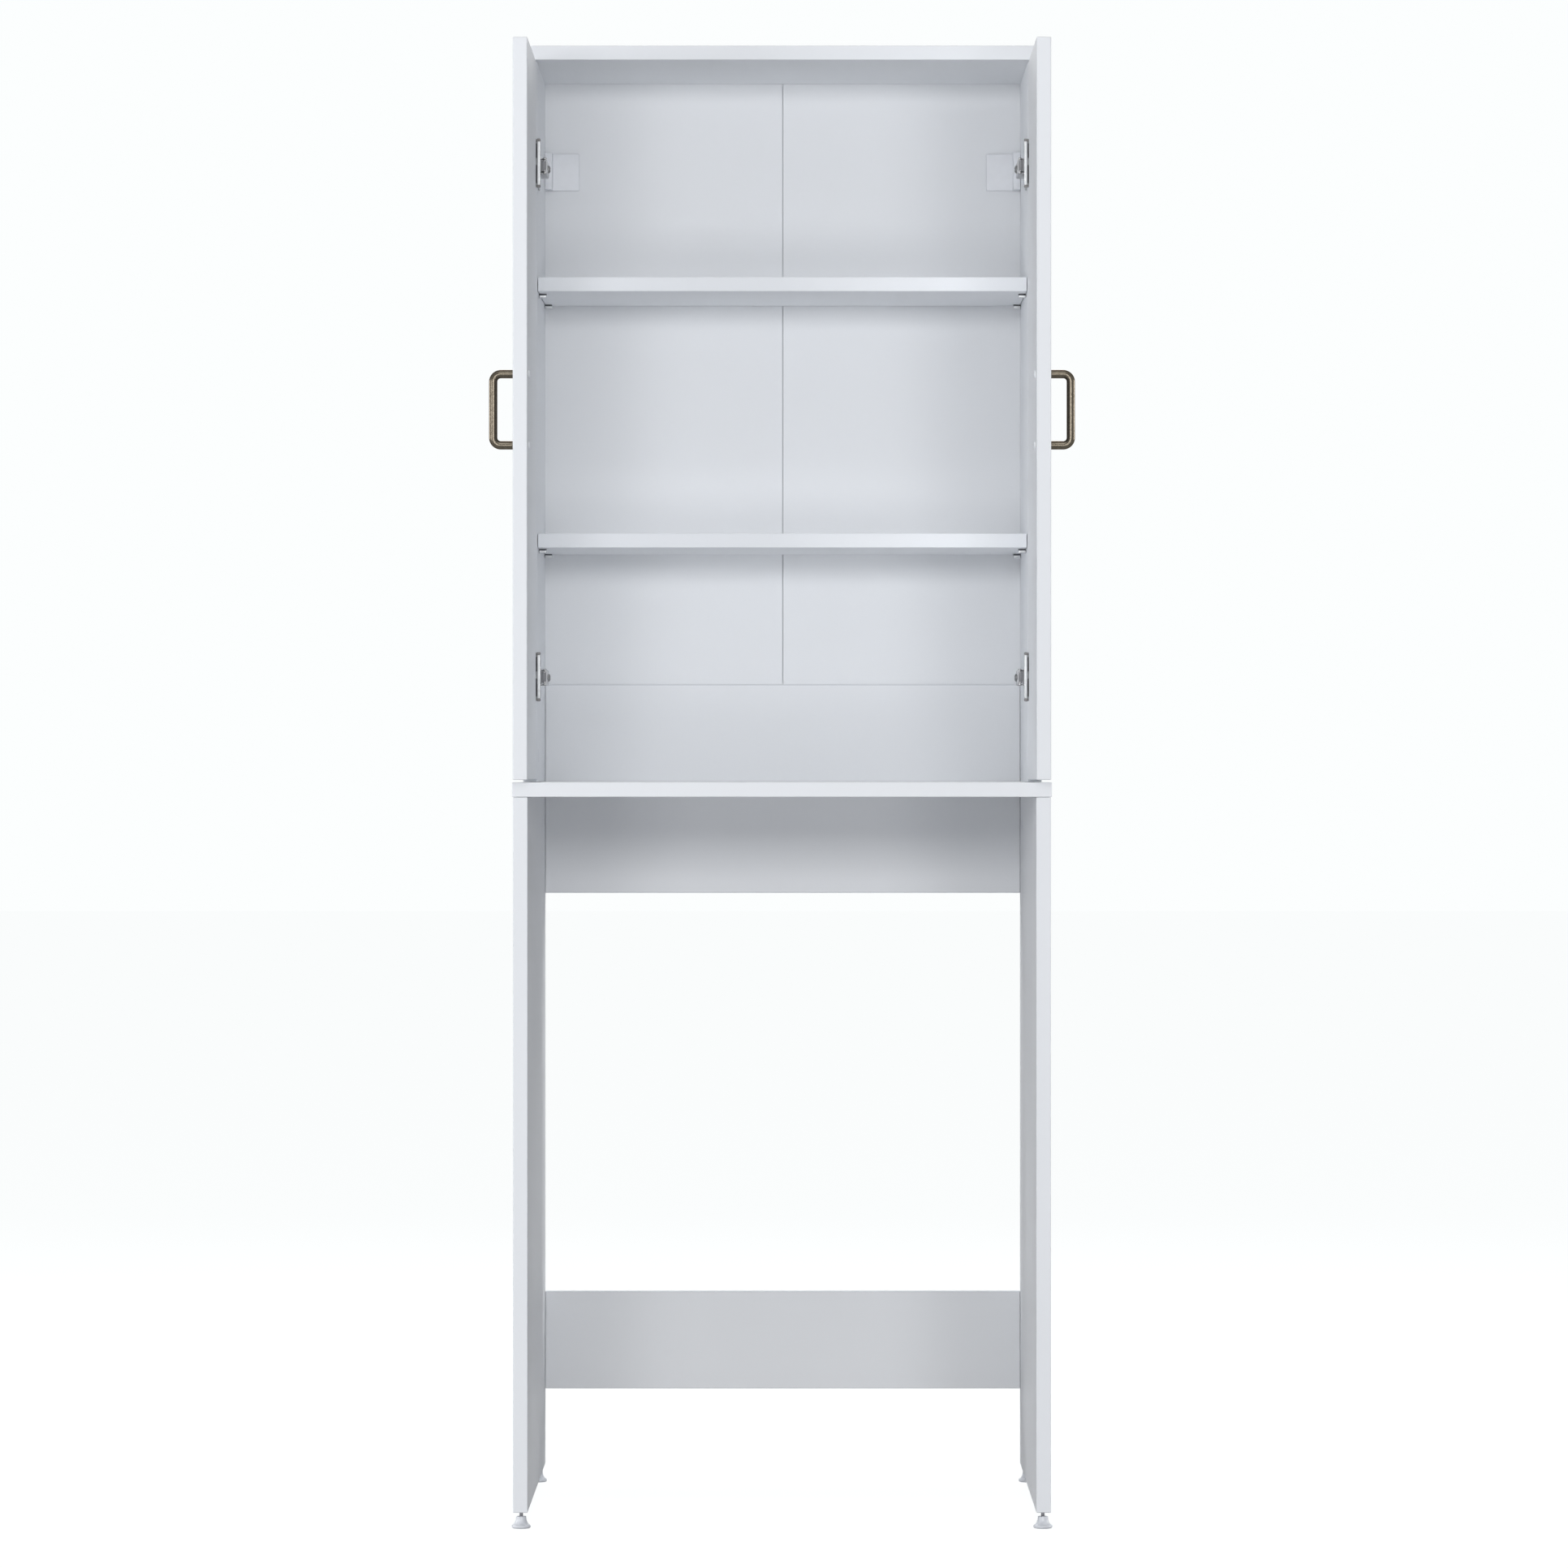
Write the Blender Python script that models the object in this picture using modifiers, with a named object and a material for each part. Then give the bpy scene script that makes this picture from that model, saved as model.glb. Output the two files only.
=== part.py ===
"""Tall cabinet for a washing machine: an open bay with a tabletop, and a two-door cupboard above it.

The cabinet stands with its back to a wall, faces -Y and has its doors open at a right angle.
Lengths are in metres, +Z is up, and the origin is on the floor under the middle of the model.
"""

from math import atan2, cos, degrees, hypot, pi, radians, sin, sqrt

import bmesh
import bpy
from mathutils import Matrix, Vector

# Carcass
WIDTH = 0.663
LOWER_DEPTH = 0.640
UPPER_DEPTH = 0.313
LOWER_HEIGHT = 0.882
UPPER_HEIGHT = 0.921
BOARD = 0.018
OVERHANG = 0.001
ARRIS = 0.0006
RAIL_HEIGHT = 0.128
BOTTOM_RAIL_RISE = 0.100
RAIL_END_GAP = 0.0005
SHELF_RISE_SHARES = (("lower", 0.3257), ("upper", 0.6819))
SHELF_SETBACK = 0.012
SHELF_END_GAP = 0.0008
BACK_THICKNESS = 0.003
BACK_INSET = 0.010
BACK_SEAM = 0.0005
GROOVE_DEPTH = 0.006

# Clearances
SEAT = 0.0003
BED = 0.0002
OVERRUN = 0.002

# Doors
DOOR_GAP = 0.003
DOOR_STAND_OFF = 0.003
DOOR_INSET = 0.0005
DOOR_OPEN_GAP = 0.005
DOOR_SPARE_TURN = radians(5)
DOOR_ARRIS = 0.001
HINGE_FROM_END = 0.131

# Handles
HANDLE_BAR = 0.0103
HANDLE_CENTRES = 0.088
HANDLE_REACH = 0.0309
HANDLE_BEND = 0.0094
HANDLE_FROM_EDGE = 0.035
HANDLE_THREAD = 0.004
HANDLE_THREAD_DEPTH = 0.008
HANDLE_SCREW_HEAD = 0.008
HANDLE_SCREW_HEAD_HEIGHT = 0.0022

# Feet
FOOT_HEIGHT = 0.022
FOOT_FROM_END = 0.030
GLIDE_HEIGHT = 0.0148
GLIDE_TOP = 0.0124
GLIDE_BASE = 0.0236
GLIDE_RIM = 0.0024
FLARE_STRAIGHT_SHARE = 0.3
FLARE_POWER = 4
STUD = 0.005
STUD_IN_BOARD = 0.024
STUD_SPARE = 0.008

# Knock-down fittings
CAM = 0.0148
CAM_DEPTH = 0.0125
CAM_FROM_END = 0.034
CAM_SLOT = 0.0067
BOLT = 0.006
BOLT_IN_BOARD = 0.008
BOLT_IN_SIDE = 0.011
DOWEL = 0.008
DOWEL_IN_END = 0.020
DOWEL_IN_FACE = 0.010
RAIL_CAM_DROP = 0.031
RAIL_DOWEL_RISE = 0.032
LOWER_BOLT_FRONT = 0.060
LOWER_BOLT_REAR = 0.090
UPPER_BOLT_FRONT = 0.045
UPPER_PEG_REAR = 0.050

# Shelf supports
SUPPORT_PIN = 0.005
SUPPORT_PIN_DEPTH = 0.008
SUPPORT_LENGTH = 0.010
SUPPORT_WIDTH = 0.010
SUPPORT_THICKNESS = 0.0033
SUPPORT_PAD = 0.0013
SUPPORT_FRONT = 0.063
SUPPORT_REAR = 0.040

# Wall brackets and their covers
BRACKET_STEEL = 0.002
BRACKET_SIDE_LEG = 0.022
BRACKET_BACK_LEG = 0.038
BRACKET_HEIGHT = 0.040
BRACKET_SCREW = 0.0035
BRACKET_SCREW_HEAD = 0.007
BRACKET_SCREW_HEAD_HEIGHT = 0.002
BRACKET_SCREW_DEPTH = 0.012
BRACKET_SCREW_OUT = 0.014
BRACKET_SCREW_SPREAD = 0.010
WALL_SCREW_HOLE = 0.008
WALL_SCREW_OUT = 0.026
COVER_SIDE_LEG = 0.028
COVER_SIDE_THICKNESS = 0.010
COVER_BACK_LEG = 0.045
COVER_BACK_THICKNESS = 0.005
COVER_HEIGHT = 0.0485
COVER_WALL = 0.0012
COVER_CORNER = 0.0012
COVER_MIDDLE_BELOW_TOP = 0.117

# Hinges, seen along the door's axis: "in" is from the side panel's outer face towards the middle
# of the cupboard, "out" is forwards from the side panel's front edge, "up" is along the axis.
CUP = 0.035
CUP_DEPTH = 0.0125
CUP_WALL = 0.0008
CUP_FROM_EDGE = 0.0035
CUP_SLOT = 0.0108
CUP_SLOT_END = 0.0015
CUP_SLOT_CORNER = 0.0012
CUP_RIM_DROP = 0.001
FLANGE_TOP = 0.0014
FLANGE_NEAR = 0.008
FLANGE_FAR = 0.0175
FLANGE_HALF = 0.019
WING_HALF = 0.029
WING_NEAR = 0.004
WING_FAR = 0.016
WING_STEP = 0.0001
BRIDGE_HALF = 0.0046
LIP_LENGTH = 0.0625
LIP_NEAR = 0.0177
LIP_WIDTH = 0.005
LIP_UNDERSIDE = 0.0015
LIP_THICKNESS = 0.0047
LIP_FOOT = 0.0037
LIP_EDGE = 0.0012
CUP_SCREW = 0.0035
CUP_SCREW_HEAD = 0.007
CUP_SCREW_HEAD_HEIGHT = 0.0014
CUP_SCREW_DEPTH = 0.011
CUP_SCREW_UP = 0.025
CUP_SCREW_ALONG = 0.010
ARM_TOP = 0.0305
ARM_FOOT = 0.0206
ARM_HALF = 0.0098
ARM_STEEL = 0.0012
ARM_TAIL = 0.075
ARM_TAIL_TAPER = 0.002
ARM_WEB_END = 0.0045
ARM_EYE = 0.0026
OUTER_PIVOT = (0.028, 0.007)
INNER_PIVOT = (0.022, -0.002)
LINK_THROW = 0.002
LINK_EYE = 0.0022
LINK_END = 0.0016
LINK_HALF = 0.0009
OUTER_LINK_BOW = 0.004
INNER_LINK_BOW = 0.007
OUTER_LINK_HALF = 0.0072
OUTER_LINK_FORK = 0.0057
OUTER_LINK_BRIDGE = (0.0195, 0.0245)
INNER_LINK_HALF = 0.004
LUG_NEAR = 0.0043
LUG_FAR = 0.0054
LUG_HALF = 0.0016
RIVET = 0.0025
RIVET_HEAD = 0.004
RIVET_HEAD_HEIGHT = 0.0008
CUP_PIN = 0.0016
RIVET_FIT = 0.00025
CUP_PIN_FIT = 0.0002
PLATE_STEEL = 0.002
PLATE_WING_HALF = 0.028
PLATE_WING_FRONT = 0.027
PLATE_WING_REAR = 0.047
PLATE_BLOCK_HALF = 0.0065
PLATE_BLOCK_FRONT = 0.016
PLATE_BLOCK_REAR = 0.068
PLATE_BLOCK_HEIGHT = 0.0067
PLATE_SCREW = 0.0063
PLATE_SCREW_DEPTH = 0.011
PLATE_SCREW_HEAD = 0.0085
PLATE_SCREW_HEAD_HEIGHT = 0.0008
PLATE_SCREW_UP = 0.016
PLATE_SCREW_BACK = 0.037
CLAMP_SCREW = 0.005
CLAMP_SCREW_HEAD = 0.010
CLAMP_SCREW_HEAD_HEIGHT = 0.003
CLAMP_SCREW_BACK = 0.050
CLAMP_SCREW_BITE = 0.0035
SET_SCREW = 0.004
SET_SCREW_HEAD = 0.006
SET_SCREW_HEAD_HEIGHT = 0.0012
SET_SCREW_BACK = 0.022

# Points this close are welded, faces this flat are merged, edges flatter than this are shaded
# smooth, and a link's bar leaves its round eye this many degrees clear of the line to its middle
WELD = 0.000001
FLAT_ANGLE = radians(0.05)
SMOOTH_ANGLE = radians(40)
EYE_SHOULDER = 12

# Facets round each kind of round piece
SEGMENTS = {"cup": 16, "foot": 12, "round": 8, "hidden": 6}
ARC_STEPS = 3
BEND_STEPS = 4
FLARE_STEPS = 3
LINK_STEPS = 5

# Heights, and places across and along the cabinet, worked out from the driving dimensions
Z_TABLE = FOOT_HEIGHT + LOWER_HEIGHT
Z_CUPBOARD = Z_TABLE + BOARD
Z_TOP = Z_CUPBOARD + UPPER_HEIGHT
Z_RAIL_TOP = Z_CUPBOARD + SEAT + RAIL_HEIGHT
X_OUTER = WIDTH / 2
X_INNER = WIDTH / 2 - BOARD
DOOR_WIDTH = WIDTH / 2 - DOOR_INSET - DOOR_GAP / 2
DOOR_REACH = DOOR_OPEN_GAP + DOOR_WIDTH
Y_REAR = max(UPPER_DEPTH + DOOR_REACH, LOWER_DEPTH + OVERHANG) / 2
Y_FRONT = Y_REAR - LOWER_DEPTH
Y_CUPBOARD = Y_REAR - UPPER_DEPTH
Y_BACK = Y_REAR - BACK_INSET - BACK_THICKNESS
Z_HINGES = (Z_CUPBOARD + DOOR_GAP + HINGE_FROM_END, Z_TOP - DOOR_GAP - HINGE_FROM_END)
Z_DOOR = Z_CUPBOARD + UPPER_HEIGHT / 2

# The door turns a right angle about this axis, from closed over the side panel's edge
# to open with its inner face in line with the side panel's inner face.
AXIS_IN = (BOARD + DOOR_STAND_OFF - DOOR_OPEN_GAP + DOOR_INSET) / 2
AXIS_OUT = (BOARD + DOOR_STAND_OFF + DOOR_OPEN_GAP - DOOR_INSET) / 2
CUP_MIDDLE = CUP_FROM_EDGE + CUP / 2

SIDES = (("left", -1), ("right", 1))


def collection(name):
    """A new collection in the scene."""
    group = bpy.data.collections.new(name)
    bpy.context.scene.collection.children.link(group)
    return group


def finish(name, colour, roughness, metallic=0.0):
    """A plain material of one colour, with its roughness and metallic value."""
    material = bpy.data.materials.new(name)
    material.use_nodes = True
    shader = material.node_tree.nodes["Principled BSDF"]
    shader.inputs["Base Color"].default_value = (*colour, 1.0)
    shader.inputs["Roughness"].default_value = roughness
    shader.inputs["Metallic"].default_value = metallic
    material.diffuse_color = (*colour, 1.0)
    return material


def mesh_of(build):
    """Stores a bmesh as a mesh with its faces pointing out, and frees it."""
    bmesh.ops.recalc_face_normals(build, faces=build.faces)
    mesh = bpy.data.meshes.new("shape")
    build.to_mesh(mesh)
    build.free()
    return mesh


def settled(template):
    """The mesh of an object with its modifiers applied, welded; the object is removed."""
    bpy.context.view_layer.update()
    ready = template.evaluated_get(bpy.context.evaluated_depsgraph_get())
    raw = bpy.data.meshes.new_from_object(ready)
    bpy.data.objects.remove(template)
    build = bmesh.new()
    build.from_mesh(raw)
    bmesh.ops.remove_doubles(build, verts=build.verts, dist=WELD)
    bmesh.ops.dissolve_limit(build, angle_limit=FLAT_ANGLE, verts=build.verts, edges=build.edges)
    return mesh_of(build)


def workpiece(data):
    """A hidden object that a shape is worked on, before it is settled."""
    template = bpy.data.objects.new("workpiece", data)
    CUTTERS.objects.link(template)
    return template


def box(low, high):
    """A box between two corners."""
    low, high = Vector(low), Vector(high)
    build = bmesh.new()
    bmesh.ops.create_cube(build, size=1.0)
    bmesh.ops.scale(build, vec=high - low, verts=build.verts)
    bmesh.ops.translate(build, vec=(low + high) / 2, verts=build.verts)
    return mesh_of(build)


def rod(diameter, length, kind):
    """A cylinder that stands on the origin and runs along +Z."""
    build = bmesh.new()
    bmesh.ops.create_cone(build, cap_ends=True, segments=SEGMENTS[kind], radius1=diameter / 2,
                          radius2=diameter / 2, depth=length)
    bmesh.ops.translate(build, vec=(0, 0, length / 2), verts=build.verts)
    return mesh_of(build)


def bore(diameter, length, kind, gap=SEAT):
    """The rod that cuts a hole: the flats of its facets stay a gap away from a round piece."""
    return rod((diameter + 2 * gap) / cos(pi / SEGMENTS[kind]), length, kind)


def turned(profile, kind):
    """A solid turned about Z from (radius, height) points, top to bottom down the outer side."""
    mesh = bpy.data.meshes.new("profile")
    edges = [(index, index + 1) for index in range(len(profile) - 1)]
    mesh.from_pydata([(radius, 0, height) for radius, height in profile], edges, [])
    template = workpiece(mesh)
    screw = template.modifiers.new("turn", "SCREW")
    screw.axis = "Z"
    screw.steps = screw.render_steps = SEGMENTS[kind]
    screw.use_merge_vertices = True
    screw.merge_threshold = WELD
    return settled(template)


def headed(head, head_height, shank, shank_length, kind="hidden"):
    """A screw: its head stands on the origin's plane, its shank runs down -Z."""
    return turned([(0, head_height), (head / 2, head_height), (head / 2, 0), (shank / 2, 0),
                   (shank / 2, -shank_length), (0, -shank_length)], kind)


def arc(centre, radius, start, end, steps):
    """Points along an arc between two angles in degrees, both ends included."""
    turns = [radians(start + (end - start) * step / steps) for step in range(steps + 1)]
    return [(centre[0] + radius * cos(turn), centre[1] + radius * sin(turn)) for turn in turns]


def ring(centre, diameter, count):
    """The points of a circle, without the first one repeated."""
    return arc(centre, diameter / 2, 0, 360, count)[:-1]


def plate(outline, thickness, holes=()):
    """A flat plate of an outline in X and Y with holes, its thickness shared about Z = 0."""
    curve = bpy.data.curves.new("plate", "CURVE")
    curve.dimensions = "2D"
    curve.fill_mode = "BOTH"
    curve.extrude = thickness / 2
    for points in (outline, *holes):
        spline = curve.splines.new("POLY")
        spline.points.add(len(points) - 1)
        for point, (x, y) in zip(spline.points, points):
            point.co = (x, y, 0, 1)
        spline.use_cyclic_u = True
    return settled(workpiece(curve))


def joined(shapes):
    """One mesh of (mesh, place) pairs; a mirrored shape keeps its faces pointing out."""
    build = bmesh.new()
    for mesh, place in shapes:
        copy = mesh.copy()
        copy.transform(place)
        if place.determinant() < 0:
            copy.flip_normals()
        build.from_mesh(copy)
    mesh = bpy.data.meshes.new("group")
    build.to_mesh(mesh)
    build.free()
    return mesh


def boolean(piece, operation, shapes):
    """Takes shapes that are clear of each other out of a piece, or joins them to it."""
    tool = bpy.data.objects.new(piece.name + "_" + operation.lower(), joined(shapes))
    tool.hide_render = True
    tool.display_type = "WIRE"
    CUTTERS.objects.link(tool)
    modifier = piece.modifiers.new(operation.lower(), "BOOLEAN")
    modifier.operation = operation
    modifier.solver = "EXACT"
    modifier.object = tool
    tool.parent = piece
    tool.matrix_parent_inverse = piece.matrix_world.inverted()
    return tool


def worked(mesh, steps):
    """A mesh after a list of boolean (operation, shapes) steps."""
    template = workpiece(mesh)
    tools = [boolean(template, operation, shapes) for operation, shapes in steps]
    mesh = settled(template)
    for tool in tools:
        bpy.data.objects.remove(tool)
    return mesh


def eased(mesh, width, segments=1):
    """A mesh with its sharp edges rounded over."""
    template = workpiece(mesh)
    bevel = template.modifiers.new("edges", "BEVEL")
    bevel.width = width
    bevel.segments = segments
    return settled(template)


def add(name, shapes, material, origin=(0, 0, 0), round_piece=False):
    """Adds a sub-part: (mesh, place) pairs in cabinet coordinates, its origin where it turns."""
    mesh = joined(shapes)
    mesh.transform(Matrix.Translation(-Vector(origin)))
    mesh.materials.clear()
    mesh.materials.append(material)
    if round_piece:
        mesh.shade_smooth()
        mesh.set_sharp_from_angle(angle=SMOOTH_ANGLE)
    piece = bpy.data.objects.new(name, mesh)
    piece.location = origin
    PARTS.objects.link(piece)
    bpy.context.view_layer.update()
    return piece


def board(name, low, high, material, arris=ARRIS, origin=None):
    """Adds a panel between two corners, its edges eased."""
    middle = (Vector(low) + Vector(high)) / 2
    piece = add(name, [(box(low, high), IDENTITY)], material, middle if origin is None else origin)
    bevel = piece.modifiers.new("arris", "BEVEL")
    bevel.width = arris
    return piece


def at(x, y, z):
    """The place of a shape that is moved and not turned."""
    return Matrix.Translation((x, y, z))


def aimed(start, direction):
    """The place of a shape drawn along +Z that starts at a point and runs in a direction."""
    return at(*start) @ Vector(direction).to_track_quat("Z", "Y").to_matrix().to_4x4()


def build_carcass():
    """The side panels, tabletop, top panel, rear rails and the two halves of the thin back."""
    boards = {}
    for name, side in SIDES:
        xs = sorted((side * X_OUTER, side * X_INNER))
        boards["lower_side_" + name] = board(
            "lower_side_" + name, (xs[0], Y_FRONT, FOOT_HEIGHT), (xs[1], Y_REAR, Z_TABLE - SEAT), LAMINATE)
        boards["upper_side_" + name] = board(
            "upper_side_" + name, (xs[0], Y_CUPBOARD, Z_CUPBOARD + SEAT), (xs[1], Y_REAR, Z_TOP - SEAT),
            LAMINATE)
    reach = X_OUTER + OVERHANG
    top_front = Y_CUPBOARD - DOOR_STAND_OFF - BOARD
    boards["tabletop"] = board("tabletop", (-reach, Y_FRONT - OVERHANG, Z_TABLE),
                               (reach, Y_REAR, Z_CUPBOARD), LAMINATE)
    boards["top_panel"] = board("top_panel", (-reach, top_front, Z_TOP),
                                (reach, Y_REAR, Z_TOP + BOARD), LAMINATE)
    rail_end = X_INNER - RAIL_END_GAP
    rail_feet = (("bottom", FOOT_HEIGHT + BOTTOM_RAIL_RISE), ("middle", Z_TABLE - SEAT - RAIL_HEIGHT),
                 ("upper", Z_CUPBOARD + SEAT))
    for name, foot in rail_feet:
        boards["rear_rail_" + name] = board(
            "rear_rail_" + name, (-rail_end, Y_REAR - BOARD, foot),
            (rail_end, Y_REAR, foot + RAIL_HEIGHT), LAMINATE)

    panel_edge = X_INNER + GROOVE_DEPTH - SEAT
    panel_low = Z_RAIL_TOP - GROOVE_DEPTH + SEAT
    panel_high = Z_TOP + GROOVE_DEPTH - SEAT
    for name, side in SIDES:
        xs = sorted((side * panel_edge, side * BACK_SEAM / 2))
        low, high = (xs[0], Y_BACK, panel_low), (xs[1], Y_BACK + BACK_THICKNESS, panel_high)
        boards["back_panel_" + name] = add("back_panel_" + name, [(box(low, high), IDENTITY)], LAMINATE)

    groove_front, groove_rear = Y_BACK - SEAT, Y_BACK + BACK_THICKNESS + SEAT
    groove_edge = X_INNER + GROOVE_DEPTH
    for name, side in SIDES:
        xs = sorted((side * (X_INNER - OVERRUN), side * groove_edge))
        groove = box((xs[0], groove_front, panel_low - SEAT), (xs[1], groove_rear, Z_TOP + OVERRUN))
        boolean(boards["upper_side_" + name], "DIFFERENCE", [(groove, IDENTITY)])
    groove = box((-groove_edge, groove_front, Z_TOP - OVERRUN),
                 (groove_edge, groove_rear, Z_TOP + GROOVE_DEPTH))
    boolean(boards["top_panel"], "DIFFERENCE", [(groove, IDENTITY)])
    groove = box((-X_INNER - OVERRUN, groove_front, panel_low - SEAT),
                 (X_INNER + OVERRUN, groove_rear, Z_RAIL_TOP + OVERRUN))
    boolean(boards["rear_rail_upper"], "DIFFERENCE", [(groove, IDENTITY)])
    return boards, rail_feet


def build_fittings(boards, rail_feet):
    """Cam locks at each board joint, with the bolts they grip, and dowels beside them."""
    notch = CAM_SLOT / 2
    shoulder = degrees(atan2(notch, CAM / 2))
    cam_outline = arc((0, 0), CAM / 2, shoulder, 360 - shoulder, SEGMENTS["round"])
    cam_shape = plate(cam_outline + [(0, -notch), (0, notch)], CAM_DEPTH + BED - SEAT)
    pockets = {name: [] for name in boards}
    bores = {name: [] for name in boards}
    fittings = {name: [] for name in boards}

    def lock(carrier, receiver, face, axis, way, bite):
        """A cam in a carrier's face, and the bolt that runs from it into the receiver."""
        face, axis, way = Vector(face), Vector(axis), Vector(way)
        pockets[carrier].append((bore(CAM, CAM_DEPTH + OVERRUN, "round"),
                                 aimed(face - axis * CAM_DEPTH, axis)))
        turn = Matrix((way, axis.cross(way), axis)).transposed().to_4x4()
        cam_middle = face - axis * (CAM_DEPTH + BED + SEAT) / 2
        fittings[carrier].append((cam_shape, Matrix.Translation(cam_middle) @ turn))
        middle = face - axis * BOARD / 2
        fittings[carrier].append((rod(BOLT, CAM_FROM_END - SEAT + bite, "hidden"),
                                  aimed(middle + way * SEAT, way)))
        bores[receiver].append((bore(BOLT, bite + SEAT + OVERRUN, "hidden"),
                                aimed(middle + way * (CAM_FROM_END + bite + SEAT), -way)))

    def peg(carrier, receiver, joint, way):
        """A dowel that stands out of the carrier's end into the receiver's face."""
        joint, way = Vector(joint), Vector(way)
        fittings[carrier].append((rod(DOWEL, DOWEL_IN_END + DOWEL_IN_FACE, "hidden"),
                                  aimed(joint - way * DOWEL_IN_END, way)))
        bores[receiver].append((bore(DOWEL, DOWEL_IN_FACE + SEAT + OVERRUN, "hidden"),
                                aimed(joint + way * (DOWEL_IN_FACE + SEAT), -way)))

    for name, side in SIDES:
        way = (side, 0, 0)
        for rail, foot in rail_feet:
            carrier = "rear_rail_" + rail
            receiver = ("upper_side_" if rail == "upper" else "lower_side_") + name
            middle = foot + RAIL_HEIGHT / 2
            lock(carrier, receiver, (side * (X_INNER - CAM_FROM_END), Y_REAR, middle - RAIL_CAM_DROP),
                 (0, 1, 0), way, BOLT_IN_SIDE)
            peg(carrier, receiver, (side * X_INNER, Y_REAR - BOARD / 2, middle + RAIL_DOWEL_RISE), way)
        inward = (-side, 0, 0)
        for y in (Y_FRONT + LOWER_BOLT_FRONT, Y_REAR - LOWER_BOLT_REAR):
            lock("lower_side_" + name, "tabletop", (side * X_INNER, y, Z_TABLE - CAM_FROM_END),
                 inward, (0, 0, 1), BOLT_IN_BOARD)
        y_lock, y_peg = Y_CUPBOARD + UPPER_BOLT_FRONT, Y_REAR - UPPER_PEG_REAR
        board_middle = side * (X_OUTER - BOARD / 2)
        for receiver, joint, rise in (("tabletop", Z_CUPBOARD, -1), ("top_panel", Z_TOP, 1)):
            lock("upper_side_" + name, receiver, (side * X_INNER, y_lock, joint - rise * CAM_FROM_END),
                 inward, (0, 0, rise), BOLT_IN_BOARD)
            peg("upper_side_" + name, receiver, (board_middle, y_peg, joint), (0, 0, rise))

    for name, piece in boards.items():
        for operation, shapes in (("DIFFERENCE", pockets[name]), ("DIFFERENCE", bores[name]),
                                  ("UNION", fittings[name])):
            if shapes:
                boolean(piece, operation, shapes)


def build_shelves(boards):
    """Two shelves, each on four pin supports with a thin pad on the tab."""
    end = X_INNER - SHELF_END_GAP
    half = SUPPORT_THICKNESS / 2
    tab = box((0, -SUPPORT_WIDTH / 2, -half), (SUPPORT_LENGTH, SUPPORT_WIDTH / 2, half))
    pad = box((SEAT, -SUPPORT_WIDTH / 2 + SEAT, half - BED),
              (SUPPORT_LENGTH - SEAT, SUPPORT_WIDTH / 2 - SEAT, half + SUPPORT_PAD))
    pin = rod(SUPPORT_PIN, SUPPORT_PIN_DEPTH + SUPPORT_LENGTH / 2, "hidden")
    support = worked(tab, [("UNION", [(pad, IDENTITY)]),
                           ("UNION", [(pin, aimed((SUPPORT_LENGTH / 2, 0, -BED), (-1, 0, 0)))])])
    hole = bore(SUPPORT_PIN, SUPPORT_PIN_DEPTH + SEAT + OVERRUN, "hidden")
    holes = {"left": [], "right": []}
    for level, rise_share in SHELF_RISE_SHARES:
        underside = Z_CUPBOARD + rise_share * UPPER_HEIGHT
        board("shelf_" + level, (-end, Y_CUPBOARD + SHELF_SETBACK, underside),
              (end, Y_BACK - SEAT, underside + BOARD), LAMINATE)
        z = underside - SEAT - SUPPORT_PAD - half
        for name, side in SIDES:
            for place, y in (("front", Y_CUPBOARD + SUPPORT_FRONT), ("rear", Y_REAR - SUPPORT_REAR)):
                seat = at(side * (X_INNER - SEAT), y, z)
                add("shelf_support_" + "_".join((level, place, name)),
                    [(support, seat @ Matrix.Diagonal((-side, 1, 1, 1)))], NICKEL,
                    (side * (X_INNER - SEAT), y, z))
                holes[name].append((hole, aimed((side * (X_INNER - OVERRUN), y, z - BED), (side, 0, 0))))
    for name, side in SIDES:
        boolean(boards["upper_side_" + name], "DIFFERENCE", holes[name])


def build_feet(boards):
    """Four screw-in feet, each a bell-shaped glide moulded on a stud that goes up into its panel."""
    rim = GLIDE_RIM
    rim_middle = GLIDE_BASE / 2 - rim
    flare_end = rim_middle + rim / 6
    stud_top = FOOT_HEIGHT + STUD_IN_BOARD
    profile = [(0, stud_top), (STUD / 3, stud_top), (STUD / 2, stud_top - STUD / 4),
               (STUD / 2, GLIDE_HEIGHT)]
    for step in range(FLARE_STEPS + 1):
        share = step / FLARE_STEPS
        flare_share = FLARE_STRAIGHT_SHARE * share + (1 - FLARE_STRAIGHT_SHARE) * share ** FLARE_POWER
        profile.append((GLIDE_TOP / 2 + (flare_end - GLIDE_TOP / 2) * flare_share,
                        GLIDE_HEIGHT - (GLIDE_HEIGHT - 2 * rim) * share))
    profile += arc((rim_middle, rim), rim, 60, -90, ARC_STEPS)
    foot = turned(profile + [(0, 0)], "foot")
    well = bore(STUD, STUD_IN_BOARD + STUD_SPARE + OVERRUN, "round")
    for name, side in SIDES:
        x = side * (X_OUTER - BOARD / 2)
        ends = (("front", Y_FRONT + FOOT_FROM_END), ("rear", Y_REAR - FOOT_FROM_END))
        for end, y in ends:
            add("foot_" + end + "_" + name, [(foot, at(x, y, 0))], WHITE_PLASTIC, (x, y, 0), True)
        boolean(boards["lower_side_" + name], "DIFFERENCE",
                [(well, at(x, y, FOOT_HEIGHT - OVERRUN)) for end, y in ends])


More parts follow.
